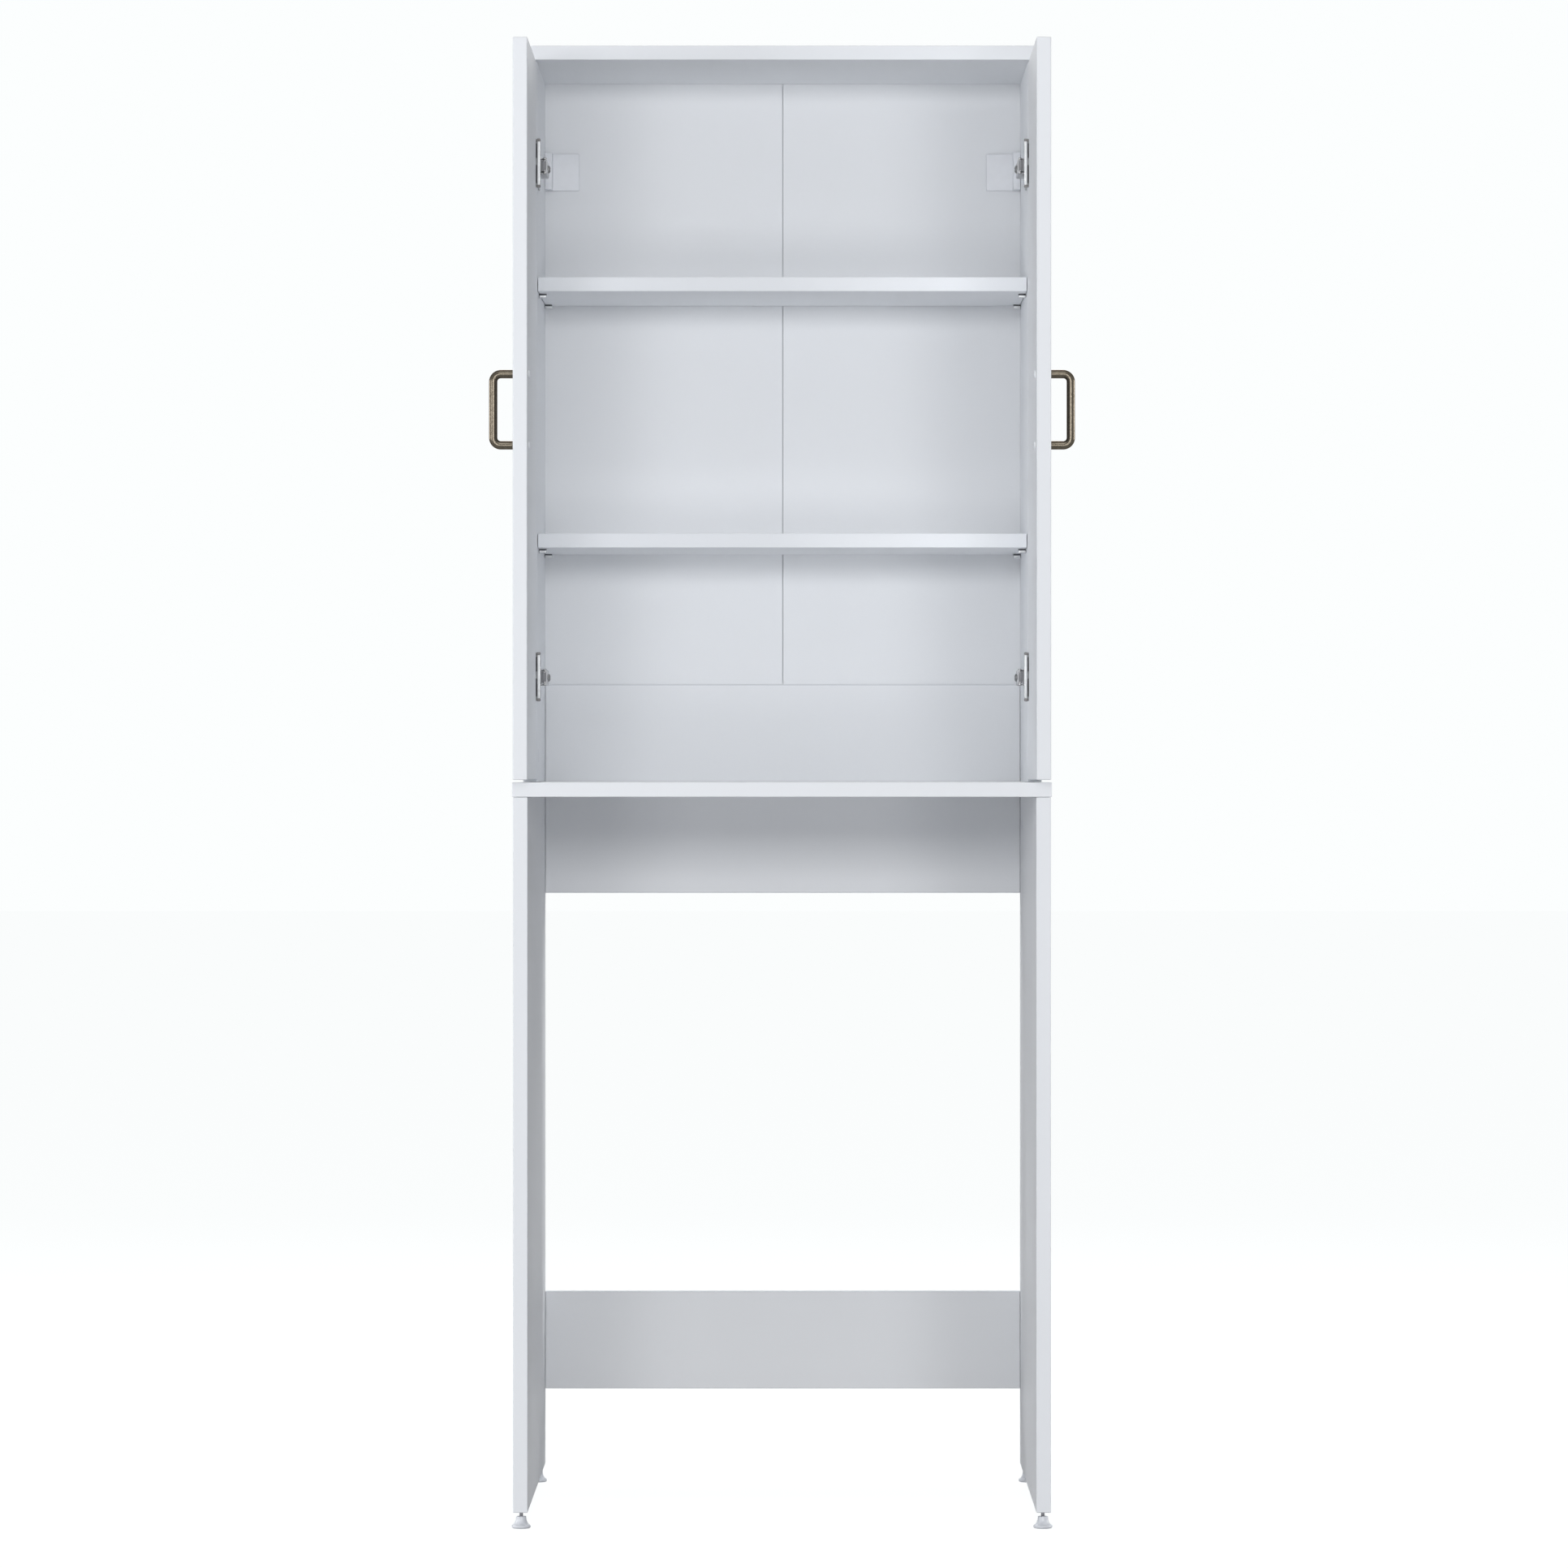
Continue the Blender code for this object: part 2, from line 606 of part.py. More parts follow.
def build_wall_brackets(boards):
    """Steel angles, screwed to the sides and open to a wall screw, each under a white cover."""
    steel, wall = BRACKET_STEEL, COVER_WALL

    def angle(side_leg, side_thickness, back_leg, back_thickness, start, height):
        """An L-shaped prism; X leaves the side panel, -Y leaves the back panel."""
        return plate([(start, -start), (back_leg, -start), (back_leg, -back_thickness),
                      (side_thickness, -back_thickness), (side_thickness, -side_leg),
                      (start, -side_leg)], height)

    screw = headed(BRACKET_SCREW_HEAD, BRACKET_SCREW_HEAD_HEIGHT, BRACKET_SCREW,
                   BRACKET_SCREW_DEPTH + steel)
    hole = bore(BRACKET_SCREW, BRACKET_SCREW_DEPTH + 2 * steel + OVERRUN, "hidden")
    wall_hole = rod(WALL_SCREW_HOLE, BACK_THICKNESS + 2 * steel + 2 * OVERRUN, "round")
    heights = (-BRACKET_SCREW_SPREAD, BRACKET_SCREW_SPREAD)
    screw_places = [aimed((steel + SEAT - BED, -BRACKET_SCREW_OUT, z), (1, 0, 0)) for z in heights]
    hole_places = [aimed((steel + OVERRUN, -BRACKET_SCREW_OUT, z), (-1, 0, 0)) for z in heights]
    wall_place = aimed((WALL_SCREW_OUT, -steel - OVERRUN, 0), (0, 1, 0))
    bracket = worked(angle(BRACKET_SIDE_LEG, steel + SEAT, BRACKET_BACK_LEG, steel + SEAT, SEAT,
                           BRACKET_HEIGHT),
                     [("DIFFERENCE", [(wall_hole, wall_place)]),
                      ("UNION", [(screw, place) for place in screw_places])])
    shell = eased(angle(COVER_SIDE_LEG, COVER_SIDE_THICKNESS, COVER_BACK_LEG, COVER_BACK_THICKNESS,
                        SEAT, COVER_HEIGHT), COVER_CORNER)
    hollow = angle(COVER_SIDE_LEG - wall, COVER_SIDE_THICKNESS - wall, COVER_BACK_LEG - wall,
                   COVER_BACK_THICKNESS - wall, -OVERRUN, COVER_HEIGHT - 2 * wall)
    cover = worked(shell, [("DIFFERENCE", [(hollow, IDENTITY)])])
    for name, side in SIDES:
        corner = (side * X_INNER, Y_BACK, Z_TOP - COVER_MIDDLE_BELOW_TOP)
        place = at(*corner) @ Matrix.Diagonal((-side, 1, 1, 1))
        add("wall_bracket_" + name, [(bracket, place)], ZINC, corner)
        add("bracket_cover_" + name, [(cover, place)], WHITE_PLASTIC, corner)
        boolean(boards["upper_side_" + name], "DIFFERENCE",
                [(hole, place @ hole_place) for hole_place in hole_places])
        boolean(boards["back_panel_" + name], "DIFFERENCE", [(wall_hole, place @ wall_place)])


def link_path(pivot, bow):
    """Where a link's two ends lie with the door open, and the points of its bowed middle line.

    The cup pin circles the door's axis by the link throw. It starts and ends half a right angle to
    either side of the line to the arm's pivot, so the link is as long closed as it is open. The spare
    is how much further from the pivot it gets when the door is pushed past open.
    """
    from_axis = (pivot[0] - AXIS_IN, pivot[1] - AXIS_OUT)
    bearing = atan2(from_axis[1], from_axis[0])
    pin = (AXIS_IN + LINK_THROW * cos(bearing + pi / 4), AXIS_OUT + LINK_THROW * sin(bearing + pi / 4))
    run = (pin[0] - pivot[0], pin[1] - pivot[1])
    length = hypot(*run)
    along = (run[0] / length, run[1] / length)
    reach = hypot(*from_axis)
    slack = length - reach + LINK_THROW
    widest = pi / 4 + DOOR_SPARE_TURN
    spare = sqrt(reach ** 2 + LINK_THROW ** 2 - 2 * reach * LINK_THROW * cos(widest)) - length
    points = []
    for step in range(1, LINK_STEPS):
        share = step / LINK_STEPS
        lift = bow * sin(pi * share)
        points.append((pivot[0] + run[0] * share + along[1] * lift,
                       pivot[1] + run[1] * share - along[0] * lift))
    return pin, along, slack, spare, points


def link_outline(pivot, bow):
    """A link's outline and its two holes: a round eye, a bowed bar and a slotted end."""
    pin, along, slack, spare, middle = link_path(pivot, bow)
    heading = degrees(atan2(along[1], along[0]))
    near, far = [], []
    for index, point in enumerate(middle):
        before = middle[index - 1] if index else pivot
        after = middle[index + 1] if index + 1 < len(middle) else pin
        run = (after[0] - before[0], after[1] - before[1])
        across = (-run[1] / hypot(*run) * LINK_HALF, run[0] / hypot(*run) * LINK_HALF)
        clear_of_eye = hypot(point[0] - pivot[0], point[1] - pivot[1]) > LINK_EYE
        clear_of_end = hypot(point[0] - pin[0], point[1] - pin[1]) > LINK_END + slack
        if clear_of_eye and clear_of_end:
            near.append((point[0] + across[0], point[1] + across[1]))
            far.append((point[0] - across[0], point[1] - across[1]))
    slot_start = (pin[0] - along[0] * slack, pin[1] - along[1] * slack)
    slot_end = (pin[0] + along[0] * spare, pin[1] + along[1] * spare)
    leave = degrees(atan2(near[0][1] - pivot[1], near[0][0] - pivot[0]))
    back = degrees(atan2(far[0][1] - pivot[1], far[0][0] - pivot[0]))
    eye = arc(pivot, LINK_EYE, back - EYE_SHOULDER, leave - 360 + EYE_SHOULDER, 2 * ARC_STEPS)
    end = arc(slot_start, LINK_END, heading + 90, heading + 90, 1)[:1]
    end += arc(slot_end, LINK_END, heading + 90, heading - 90, ARC_STEPS)
    end += arc(slot_start, LINK_END, heading - 90, heading - 90, 1)[:1]
    outline = eye + near + end + far[::-1]
    fit = CUP_PIN / 2 + CUP_PIN_FIT
    slot = arc(slot_end, fit, heading + 90, heading - 90, 2 * ARC_STEPS)
    slot += arc(slot_start, fit, heading - 90, heading - 270, 2 * ARC_STEPS)
    eye_hole = ring(pivot, (RIVET + 2 * RIVET_FIT) / cos(pi / SEGMENTS["round"]), SEGMENTS["round"])
    return pin, [(x, -y) for x, y in outline], [[(x, -y) for x, y in hole] for hole in (eye_hole, slot)]


def hinge_cup(outer_pin, inner_pin):
    """The hinge's cup with its screw flange and front lip, drawn about the cup's axis.

    X runs up the door, Y away from the door's hinged edge and Z out of its inner face.
    """
    radius = CUP / 2 - CUP_WALL
    floor = -CUP_DEPTH + CUP_WALL
    slot_edge = degrees(atan2(sqrt(radius ** 2 - CUP_SLOT ** 2), CUP_SLOT))
    wide_edge = degrees(atan2(CUP_SLOT_END, sqrt(radius ** 2 - CUP_SLOT_END ** 2)))
    cavity = arc((0, 0), radius, -180 + slot_edge, -slot_edge, ARC_STEPS)
    cavity += [(CUP_SLOT, CUP_SLOT_CORNER)]
    cavity += arc((0, 0), radius, wide_edge, 180 - wide_edge, 3 * ARC_STEPS)
    cavity += [(-CUP_SLOT, CUP_SLOT_CORNER)]
    cavity_height = CUP_DEPTH + LIP_UNDERSIDE + LIP_THICKNESS
    flange = box((-FLANGE_HALF, -FLANGE_NEAR, SEAT), (FLANGE_HALF, FLANGE_FAR, FLANGE_TOP))
    wings = box((-WING_HALF, WING_NEAR, SEAT + WING_STEP), (WING_HALF, WING_FAR, FLANGE_TOP - WING_STEP))
    screw = headed(CUP_SCREW_HEAD, CUP_SCREW_HEAD_HEIGHT, CUP_SCREW, CUP_SCREW_DEPTH)
    screws = [(screw, at(up * CUP_SCREW_UP, CUP_SCREW_ALONG, FLANGE_TOP - 2 * WING_STEP)) for up in (-1, 1)]

    half = LIP_LENGTH / 2
    lip = eased(box((-half, LIP_NEAR, LIP_UNDERSIDE),
                    (half, LIP_NEAR + LIP_WIDTH, LIP_UNDERSIDE + LIP_THICKNESS)), LIP_EDGE)
    foot_top = LIP_UNDERSIDE + LIP_THICKNESS / 2
    feet = [(box((x, LIP_NEAR + LIP_EDGE / 2, SEAT), (x + LIP_FOOT, LIP_NEAR + LIP_WIDTH - LIP_EDGE / 2,
                                                      foot_top)), IDENTITY)
            for x in (-half + LIP_EDGE / 4, half - LIP_FOOT - LIP_EDGE / 4)]
    bridge = box((-BRIDGE_HALF, WING_FAR - WING_STEP, (SEAT + FLANGE_TOP) / 2),
                 (BRIDGE_HALF, LIP_NEAR + LIP_WIDTH / 2, foot_top))
    near_side = box((-CUP, -CUP, -CUP_RIM_DROP), (CUP, -FLANGE_NEAR, FLANGE_TOP))

    stub_along, stub_depth = outer_pin[1] - DOOR_OPEN_GAP - CUP_MIDDLE, outer_pin[0] - BOARD
    stub = rod(CUP_PIN, CUP_SLOT - OUTER_LINK_FORK + CUP_WALL, "hidden")
    pins = [(stub, aimed((side * OUTER_LINK_FORK, stub_along, stub_depth), (side, 0, 0)))
            for side in (-1, 1)]
    lug_along, lug_depth = inner_pin[1] - DOOR_OPEN_GAP - CUP_MIDDLE, inner_pin[0] - BOARD
    lug_pin = rod(CUP_PIN, LUG_NEAR + LUG_FAR, "hidden")
    pins.append((lug_pin, aimed((-(LUG_NEAR + LUG_FAR) / 2, lug_along, lug_depth), (1, 0, 0))))
    lugs = []
    for low, high in ((-LUG_FAR, -LUG_NEAR), (LUG_NEAR, LUG_FAR)):
        lugs.append((box((low, lug_along - LUG_HALF, floor - CUP_WALL / 2),
                         (high, lug_along + LUG_HALF, lug_depth + LUG_HALF)), IDENTITY))
    bowl = rod(CUP, CUP_DEPTH + (FLANGE_TOP + SEAT) / 2, "cup")
    bowl.transform(at(0, 0, -CUP_DEPTH))
    return worked(bowl, [
        ("DIFFERENCE", [(near_side, IDENTITY)]),
        ("UNION", [(flange, IDENTITY)]),
        ("UNION", [(wings, IDENTITY)]),
        ("DIFFERENCE", [(plate(cavity, cavity_height), at(0, 0, floor + cavity_height / 2))]),
        ("UNION", lugs + [(lip, IDENTITY)]),
        ("UNION", pins + feet + screws + [(bridge, IDENTITY)])])


def hinge_arm():
    """The channel-shaped arm, with the links' pivots riveted in its nose and two screws in its web."""
    nose = (OUTER_PIVOT[0] - INNER_PIVOT[0], OUTER_PIVOT[1] - INNER_PIVOT[1])
    flank = degrees(atan2(nose[1], nose[0])) + 90
    outline = [(ARM_FOOT, -ARM_TAIL + ARM_TAIL_TAPER), (ARM_FOOT, INNER_PIVOT[1] - 3 * ARM_EYE)]
    outline += arc(INNER_PIVOT, ARM_EYE, 180, flank, 1)
    outline += arc(OUTER_PIVOT, ARM_EYE, flank, 0, ARC_STEPS)
    outline += [(ARM_TOP, ARM_WEB_END), (ARM_TOP, -ARM_TAIL + 2 * ARM_TAIL_TAPER),
                (ARM_TOP - ARM_TAIL_TAPER, -ARM_TAIL)]
    blank = plate([(x, -y) for x, y in outline], 2 * ARM_HALF)
    web, low, high = ARM_TOP - ARM_STEEL, BOARD, ARM_TOP + ARM_EYE
    front, rear = OUTER_PIVOT[1] + 2 * ARM_EYE, ARM_TAIL + OVERRUN
    channel = [(low, rear), (web, rear), (web, -ARM_WEB_END), (high, -ARM_WEB_END), (high, -front),
               (low, -front)]
    half = ARM_HALF - BED
    rivet = turned([(0, half + RIVET_HEAD_HEIGHT), (RIVET_HEAD / 2, half + RIVET_HEAD_HEIGHT),
                    (RIVET_HEAD / 2, half), (RIVET / 2, half), (RIVET / 2, -half),
                    (RIVET_HEAD / 2, -half), (RIVET_HEAD / 2, -half - RIVET_HEAD_HEIGHT),
                    (0, -half - RIVET_HEAD_HEIGHT)], "round")
    fasteners = [(rivet, at(x, -y, 0)) for x, y in (OUTER_PIVOT, INNER_PIVOT)]
    to_block = ARM_TOP - BED - BOARD - SEAT - PLATE_BLOCK_HEIGHT
    for head, head_height, shank, reach, back in (
            (CLAMP_SCREW_HEAD, CLAMP_SCREW_HEAD_HEIGHT, CLAMP_SCREW, to_block + CLAMP_SCREW_BITE,
             CLAMP_SCREW_BACK),
            (SET_SCREW_HEAD, SET_SCREW_HEAD_HEIGHT, SET_SCREW, to_block - SEAT, SET_SCREW_BACK)):
        fasteners.append((headed(head, head_height, shank, reach, "round"),
                          aimed((ARM_TOP - BED, back, 0), (1, 0, 0))))
    return worked(blank, [("DIFFERENCE", [(plate(channel, 2 * (ARM_HALF - ARM_STEEL)), IDENTITY)]),
                          ("UNION", fasteners)])


def mounting_plate():
    """The winged plate on the side panel with its two screws, and a block that the arm straddles."""
    foot, block_top = BOARD + SEAT, BOARD + SEAT + PLATE_BLOCK_HEIGHT
    wings = box((foot, PLATE_WING_FRONT, -PLATE_WING_HALF),
                (foot + PLATE_STEEL, PLATE_WING_REAR, PLATE_WING_HALF))
    block = box((foot + BED, PLATE_BLOCK_FRONT, -PLATE_BLOCK_HALF),
                (block_top, PLATE_BLOCK_REAR, PLATE_BLOCK_HALF))
    screw = headed(PLATE_SCREW_HEAD, PLATE_SCREW_HEAD_HEIGHT, PLATE_SCREW, PLATE_SCREW_DEPTH)
    screws = [(screw, aimed((foot + PLATE_STEEL - BED, PLATE_SCREW_BACK, up * PLATE_SCREW_UP), (1, 0, 0)))
              for up in (-1, 1)]
    clamp_hole = bore(CLAMP_SCREW, CLAMP_SCREW_BITE + SEAT + OVERRUN, "round")
    hole_place = aimed((block_top + OVERRUN, CLAMP_SCREW_BACK, 0), (-1, 0, 0))
    return worked(wings, [("UNION", [(block, IDENTITY)]), ("DIFFERENCE", [(clamp_hole, hole_place)]),
                          ("UNION", screws)])


def build_hinges(boards):
    """Two concealed hinges for each door: plate, arm, cup, and two links on their pins."""
    outer_pin, outer_outline, outer_holes = link_outline(OUTER_PIVOT, OUTER_LINK_BOW)
    inner_pin, inner_outline, inner_holes = link_outline(INNER_PIVOT, INNER_LINK_BOW)
    fork = OUTER_LINK_FORK
    slots = [(box((low, -CUP, -fork), (high, CUP, fork)), IDENTITY)
             for low, high in ((AXIS_IN - CUP, OUTER_LINK_BRIDGE[0]),
                               (OUTER_LINK_BRIDGE[1], OUTER_PIVOT[0] + CUP))]
    cup_place = Matrix(((0, 0, 1, BOARD), (0, -1, 0, -DOOR_OPEN_GAP - CUP_MIDDLE), (1, 0, 0, 0),
                        (0, 0, 0, 1)))
    axis = (AXIS_IN, AXIS_OUT)
    pieces = (
        ("plate", mounting_plate(), IDENTITY, NICKEL, (BOARD, -PLATE_BLOCK_FRONT)),
        ("arm", hinge_arm(), IDENTITY, NICKEL, OUTER_PIVOT),
        ("outer_link", worked(plate(outer_outline, 2 * OUTER_LINK_HALF, outer_holes),
                              [("DIFFERENCE", slots)]), IDENTITY, NICKEL, OUTER_PIVOT),
        ("inner_link", plate(inner_outline, 2 * INNER_LINK_HALF, inner_holes), IDENTITY, NICKEL,
         INNER_PIVOT),
        ("cup", hinge_cup(outer_pin, inner_pin), cup_place, NICKEL, axis))

    side_bore = bore(PLATE_SCREW, PLATE_SCREW_DEPTH + OVERRUN, "hidden")
    side_bores = [(side_bore, aimed((BOARD + OVERRUN, PLATE_SCREW_BACK, up * PLATE_SCREW_UP), (-1, 0, 0)))
                  for up in (-1, 1)]
    pocket = bore(CUP, CUP_DEPTH + SEAT + OVERRUN, "cup")
    pilot = bore(CUP_SCREW, CUP_SCREW_DEPTH + OVERRUN, "hidden")
    door_cuts = [(pocket, cup_place @ at(0, 0, -CUP_DEPTH - SEAT))]
    door_cuts += [(pilot, cup_place @ at(up * CUP_SCREW_UP, CUP_SCREW_ALONG, -CUP_SCREW_DEPTH))
                  for up in (-1, 1)]

    for name, side in SIDES:
        places = {end: at(side * X_OUTER, Y_CUPBOARD, z) @ Matrix.Diagonal((-side, 1, 1, 1))
                  for end, z in (("lower", Z_HINGES[0]), ("upper", Z_HINGES[1]))}

        def repeated(shapes):
            """The shapes of one hinge at both of the door's hinges."""
            return [(mesh, place @ own) for place in places.values() for mesh, own in shapes]

        for end, place in places.items():
            for kind, mesh, own, material, pivot in pieces:
                origin = place @ Vector((pivot[0], -pivot[1], 0))
                add("_".join(("hinge", kind, end, name)), [(mesh, place @ own)], material, origin)
        boolean(boards["upper_side_" + name], "DIFFERENCE", repeated(side_bores))
        build_door(name, side, (side * (X_OUTER - AXIS_IN), Y_CUPBOARD - AXIS_OUT, Z_DOOR),
                   repeated(door_cuts))


def build_door(name, side, axis, hinge_cuts):
    """A door with its round-bar handle, which two screws hold from behind."""
    xs = sorted((side * X_OUTER, side * X_INNER))
    low = (xs[0], Y_CUPBOARD - DOOR_REACH, Z_CUPBOARD + DOOR_GAP)
    high = (xs[1], Y_CUPBOARD - DOOR_OPEN_GAP, Z_TOP - DOOR_GAP)
    door = board("door_" + name, low, high, LAMINATE, DOOR_ARRIS, axis)
    boolean(door, "DIFFERENCE", hinge_cuts)

    reach, half = HANDLE_REACH - HANDLE_BAR / 2, HANDLE_CENTRES / 2
    corner = (reach - HANDLE_BEND, half - HANDLE_BEND)
    bend = arc(corner, HANDLE_BEND, 90, 0, BEND_STEPS)
    path = [(SEAT, half)] + bend + [(x, -z) for x, z in reversed(bend)] + [(SEAT, -half)]
    curve = bpy.data.curves.new("handle", "CURVE")
    curve.dimensions = "3D"
    curve.bevel_depth = HANDLE_BAR / 2
    curve.bevel_resolution = 3
    curve.use_fill_caps = True
    spline = curve.splines.new("POLY")
    spline.points.add(len(path) - 1)
    for point, (x, z) in zip(spline.points, path):
        point.co = (-x, 0, z, 1)
    bar = settled(workpiece(curve))
    y = Y_CUPBOARD - DOOR_REACH + HANDLE_FROM_EDGE
    place = at(side * X_OUTER, y, Z_DOOR) @ Matrix.Diagonal((-side, 1, 1, 1))
    thread = bore(HANDLE_THREAD, HANDLE_THREAD_DEPTH + SEAT + OVERRUN, "hidden")
    passage = bore(HANDLE_THREAD, BOARD + 2 * OVERRUN, "hidden")
    screw = headed(HANDLE_SCREW_HEAD, HANDLE_SCREW_HEAD_HEIGHT, HANDLE_THREAD,
                   BOARD + SEAT + HANDLE_THREAD_DEPTH, "round")
    bar = worked(bar, [("DIFFERENCE", [(thread, aimed((OVERRUN, 0, z), (-1, 0, 0)))
                                       for z in (-half, half)])])
    add("handle_" + name, [(bar, place)], BRONZE, axis, True)
    boolean(door, "DIFFERENCE", [(passage, place @ aimed((-OVERRUN, 0, z), (1, 0, 0)))
                                 for z in (-half, half)])
    for end, z in (("lower", -half), ("upper", half)):
        head_seat = place @ aimed((BOARD + SEAT, 0, z), (1, 0, 0))
        add("_".join(("handle_screw", end, name)), [(screw, head_seat)], STEEL, head_seat.translation)


for old in list(bpy.data.objects):
    bpy.data.objects.remove(old)

IDENTITY = Matrix.Identity(4)
PARTS = collection("washing_machine_cabinet")
CUTTERS = collection("cutters")
LAMINATE = finish("white_laminate", (0.80, 0.82, 0.87), 0.45)
WHITE_PLASTIC = finish("white_plastic", (0.80, 0.82, 0.86), 0.30)
BRONZE = finish("antique_bronze", (0.16, 0.12, 0.085), 0.38, 0.9)
NICKEL = finish("nickel_plated_steel", (0.62, 0.62, 0.62), 0.25, 1.0)
STEEL = finish("bright_steel", (0.50, 0.50, 0.50), 0.30, 1.0)
ZINC = finish("zinc", (0.45, 0.46, 0.48), 0.40, 0.9)

BOARDS, RAIL_FEET = build_carcass()
build_fittings(BOARDS, RAIL_FEET)
build_shelves(BOARDS)
build_feet(BOARDS)
build_wall_brackets(BOARDS)
build_hinges(BOARDS)
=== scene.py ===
"""Looks for the cabinet over a washing machine: white laminated boards, bronze bar handles and
bright concealed hinges, seen square from the front with both doors open. Lengths are in metres."""

from math import pi, radians

import bmesh
import bpy
import numpy as np
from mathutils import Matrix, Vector


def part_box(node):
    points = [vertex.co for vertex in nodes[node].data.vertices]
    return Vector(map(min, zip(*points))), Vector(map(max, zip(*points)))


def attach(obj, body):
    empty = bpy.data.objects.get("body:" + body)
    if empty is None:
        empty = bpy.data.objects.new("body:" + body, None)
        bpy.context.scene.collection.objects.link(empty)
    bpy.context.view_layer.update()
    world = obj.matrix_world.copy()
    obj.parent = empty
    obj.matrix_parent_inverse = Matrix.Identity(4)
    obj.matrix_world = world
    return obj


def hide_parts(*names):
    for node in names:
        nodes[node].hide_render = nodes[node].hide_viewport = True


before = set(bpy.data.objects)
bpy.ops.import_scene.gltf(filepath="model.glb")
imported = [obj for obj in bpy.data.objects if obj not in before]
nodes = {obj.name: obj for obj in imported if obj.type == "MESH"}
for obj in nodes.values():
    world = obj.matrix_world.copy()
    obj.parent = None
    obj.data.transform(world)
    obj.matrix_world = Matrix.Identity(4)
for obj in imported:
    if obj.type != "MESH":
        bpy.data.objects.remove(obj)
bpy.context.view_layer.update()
scene = bpy.context.scene
scene.view_settings.view_transform = "Standard"


# The camera stands 8.8 m in front of the lower part, level with the tabletop, and looks straight back,
# so that the boards' edges stay parallel.
eye = bpy.data.cameras.new("eye")
eye.sensor_width = 36.0
eye.lens = 163.98
eye.shift_x = -0.00621
eye.shift_y = -0.00518
camera = bpy.data.objects.new("camera", eye)
camera.location = (0.0145, -9.11625, 0.930)
camera.rotation_euler = (radians(90), 0, 0)
scene.collection.objects.link(camera)
scene.camera = camera


# The studio: a pale floor that runs out into a pale surround, near white to the eye and in
# reflections, with soft lamps all round. The wide one in front lights the middle of the back most.
SURROUND = (0.973, 0.991, 0.991, 1.0)
SKY_LIGHT = 0.12
FLOOR_REACH = 40.0
FLOOR_PAINT = (0.27, 0.27, 0.28, 1.0)
FLOOR_SEEN = (0.10, 0.10, 0.105, 1.0)
FLOOR_GLOW = 0.97


def put(tree, kind, **settings):
    """A node of a kind. A setting is a property of the node, or the value of the input socket of
    that name, with an underscore for each space."""
    made = tree.nodes.new(kind)
    for key, value in settings.items():
        if hasattr(made, key):
            setattr(made, key, value)
        else:
            made.inputs[key.replace("_", " ")].default_value = value
    return made


def feed(tree, sockets, values):
    """Gives each input its value: a link from another socket, or a fixed value."""
    for socket, value in zip(sockets, values):
        if isinstance(value, bpy.types.NodeSocket):
            tree.links.new(value, socket)
        elif value is not None:
            socket.default_value = value


def calc(tree, operation, first, second=None, kind="Math"):
    """The result of a Math or VectorMath node of one or two inputs."""
    made = put(tree, "ShaderNode" + kind, operation=operation)
    feed(tree, made.inputs, (first, second))
    return made.outputs[0]


def seen_directly(tree):
    """1 for camera, glossy and transmission rays, and 0 for the rays that only carry light."""
    path = put(tree, "ShaderNodeLightPath")
    mirrored = calc(tree, "MAXIMUM", path.outputs["Is Glossy Ray"], path.outputs["Is Transmission Ray"])
    return calc(tree, "MAXIMUM", path.outputs["Is Camera Ray"], mirrored)


def two_ways(tree, lighting, seen, output):
    """Joins a shader for light rays and one for rays that are seen to the tree's output."""
    blend = put(tree, "ShaderNodeMixShader")
    feed(tree, blend.inputs, (seen_directly(tree), lighting, seen))
    tree.links.new(blend.outputs[0], put(tree, output).inputs[0])


surround = bpy.data.worlds.new("surround")
scene.world = surround
surround.use_nodes = True
tree = surround.node_tree
tree.nodes.clear()
sky = put(tree, "ShaderNodeBackground", Color=(1.0, 1.0, 1.0, 1.0), Strength=SKY_LIGHT)
backdrop = put(tree, "ShaderNodeBackground", Color=SURROUND, Strength=1.0)
two_ways(tree, sky.outputs[0], backdrop.outputs[0], "ShaderNodeOutputWorld")

floor_paint = bpy.data.materials.new("floor_paint")
floor_paint.use_nodes = True
tree = floor_paint.node_tree
tree.nodes.clear()
glowing = put(tree, "ShaderNodeAddShader")
tree.links.new(put(tree, "ShaderNodeBsdfDiffuse", Color=FLOOR_SEEN).outputs[0], glowing.inputs[0])
tree.links.new(put(tree, "ShaderNodeEmission", Color=SURROUND, Strength=FLOOR_GLOW).outputs[0],
               glowing.inputs[1])
two_ways(tree, put(tree, "ShaderNodeBsdfDiffuse", Color=FLOOR_PAINT).outputs[0], glowing.outputs[0],
         "ShaderNodeOutputMaterial")

floor_mesh = bpy.data.meshes.new("floor")
floor_corners = np.array([(-1, -1, 0), (1, -1, 0), (1, 1, 0), (-1, 1, 0)]) * FLOOR_REACH
floor_mesh.from_pydata(floor_corners.tolist(), [], [(0, 1, 2, 3)])
floor_mesh.materials.append(floor_paint)
floor = bpy.data.objects.new("floor", floor_mesh)
scene.collection.objects.link(floor)


def lamp(name, place, aim, width, height, power):
    """A soft lamp at a place, turned to face a point. The lamp itself isn't seen."""
    data = bpy.data.lights.new(name, "AREA")
    data.shape = "RECTANGLE"
    data.size = width
    data.size_y = height
    data.energy = power
    stand = bpy.data.objects.new(name, data)
    stand.location = place
    stand.rotation_euler = (Vector(aim) - Vector(place)).to_track_quat("-Z", "Y").to_euler()
    stand.visible_camera = False
    scene.collection.objects.link(stand)


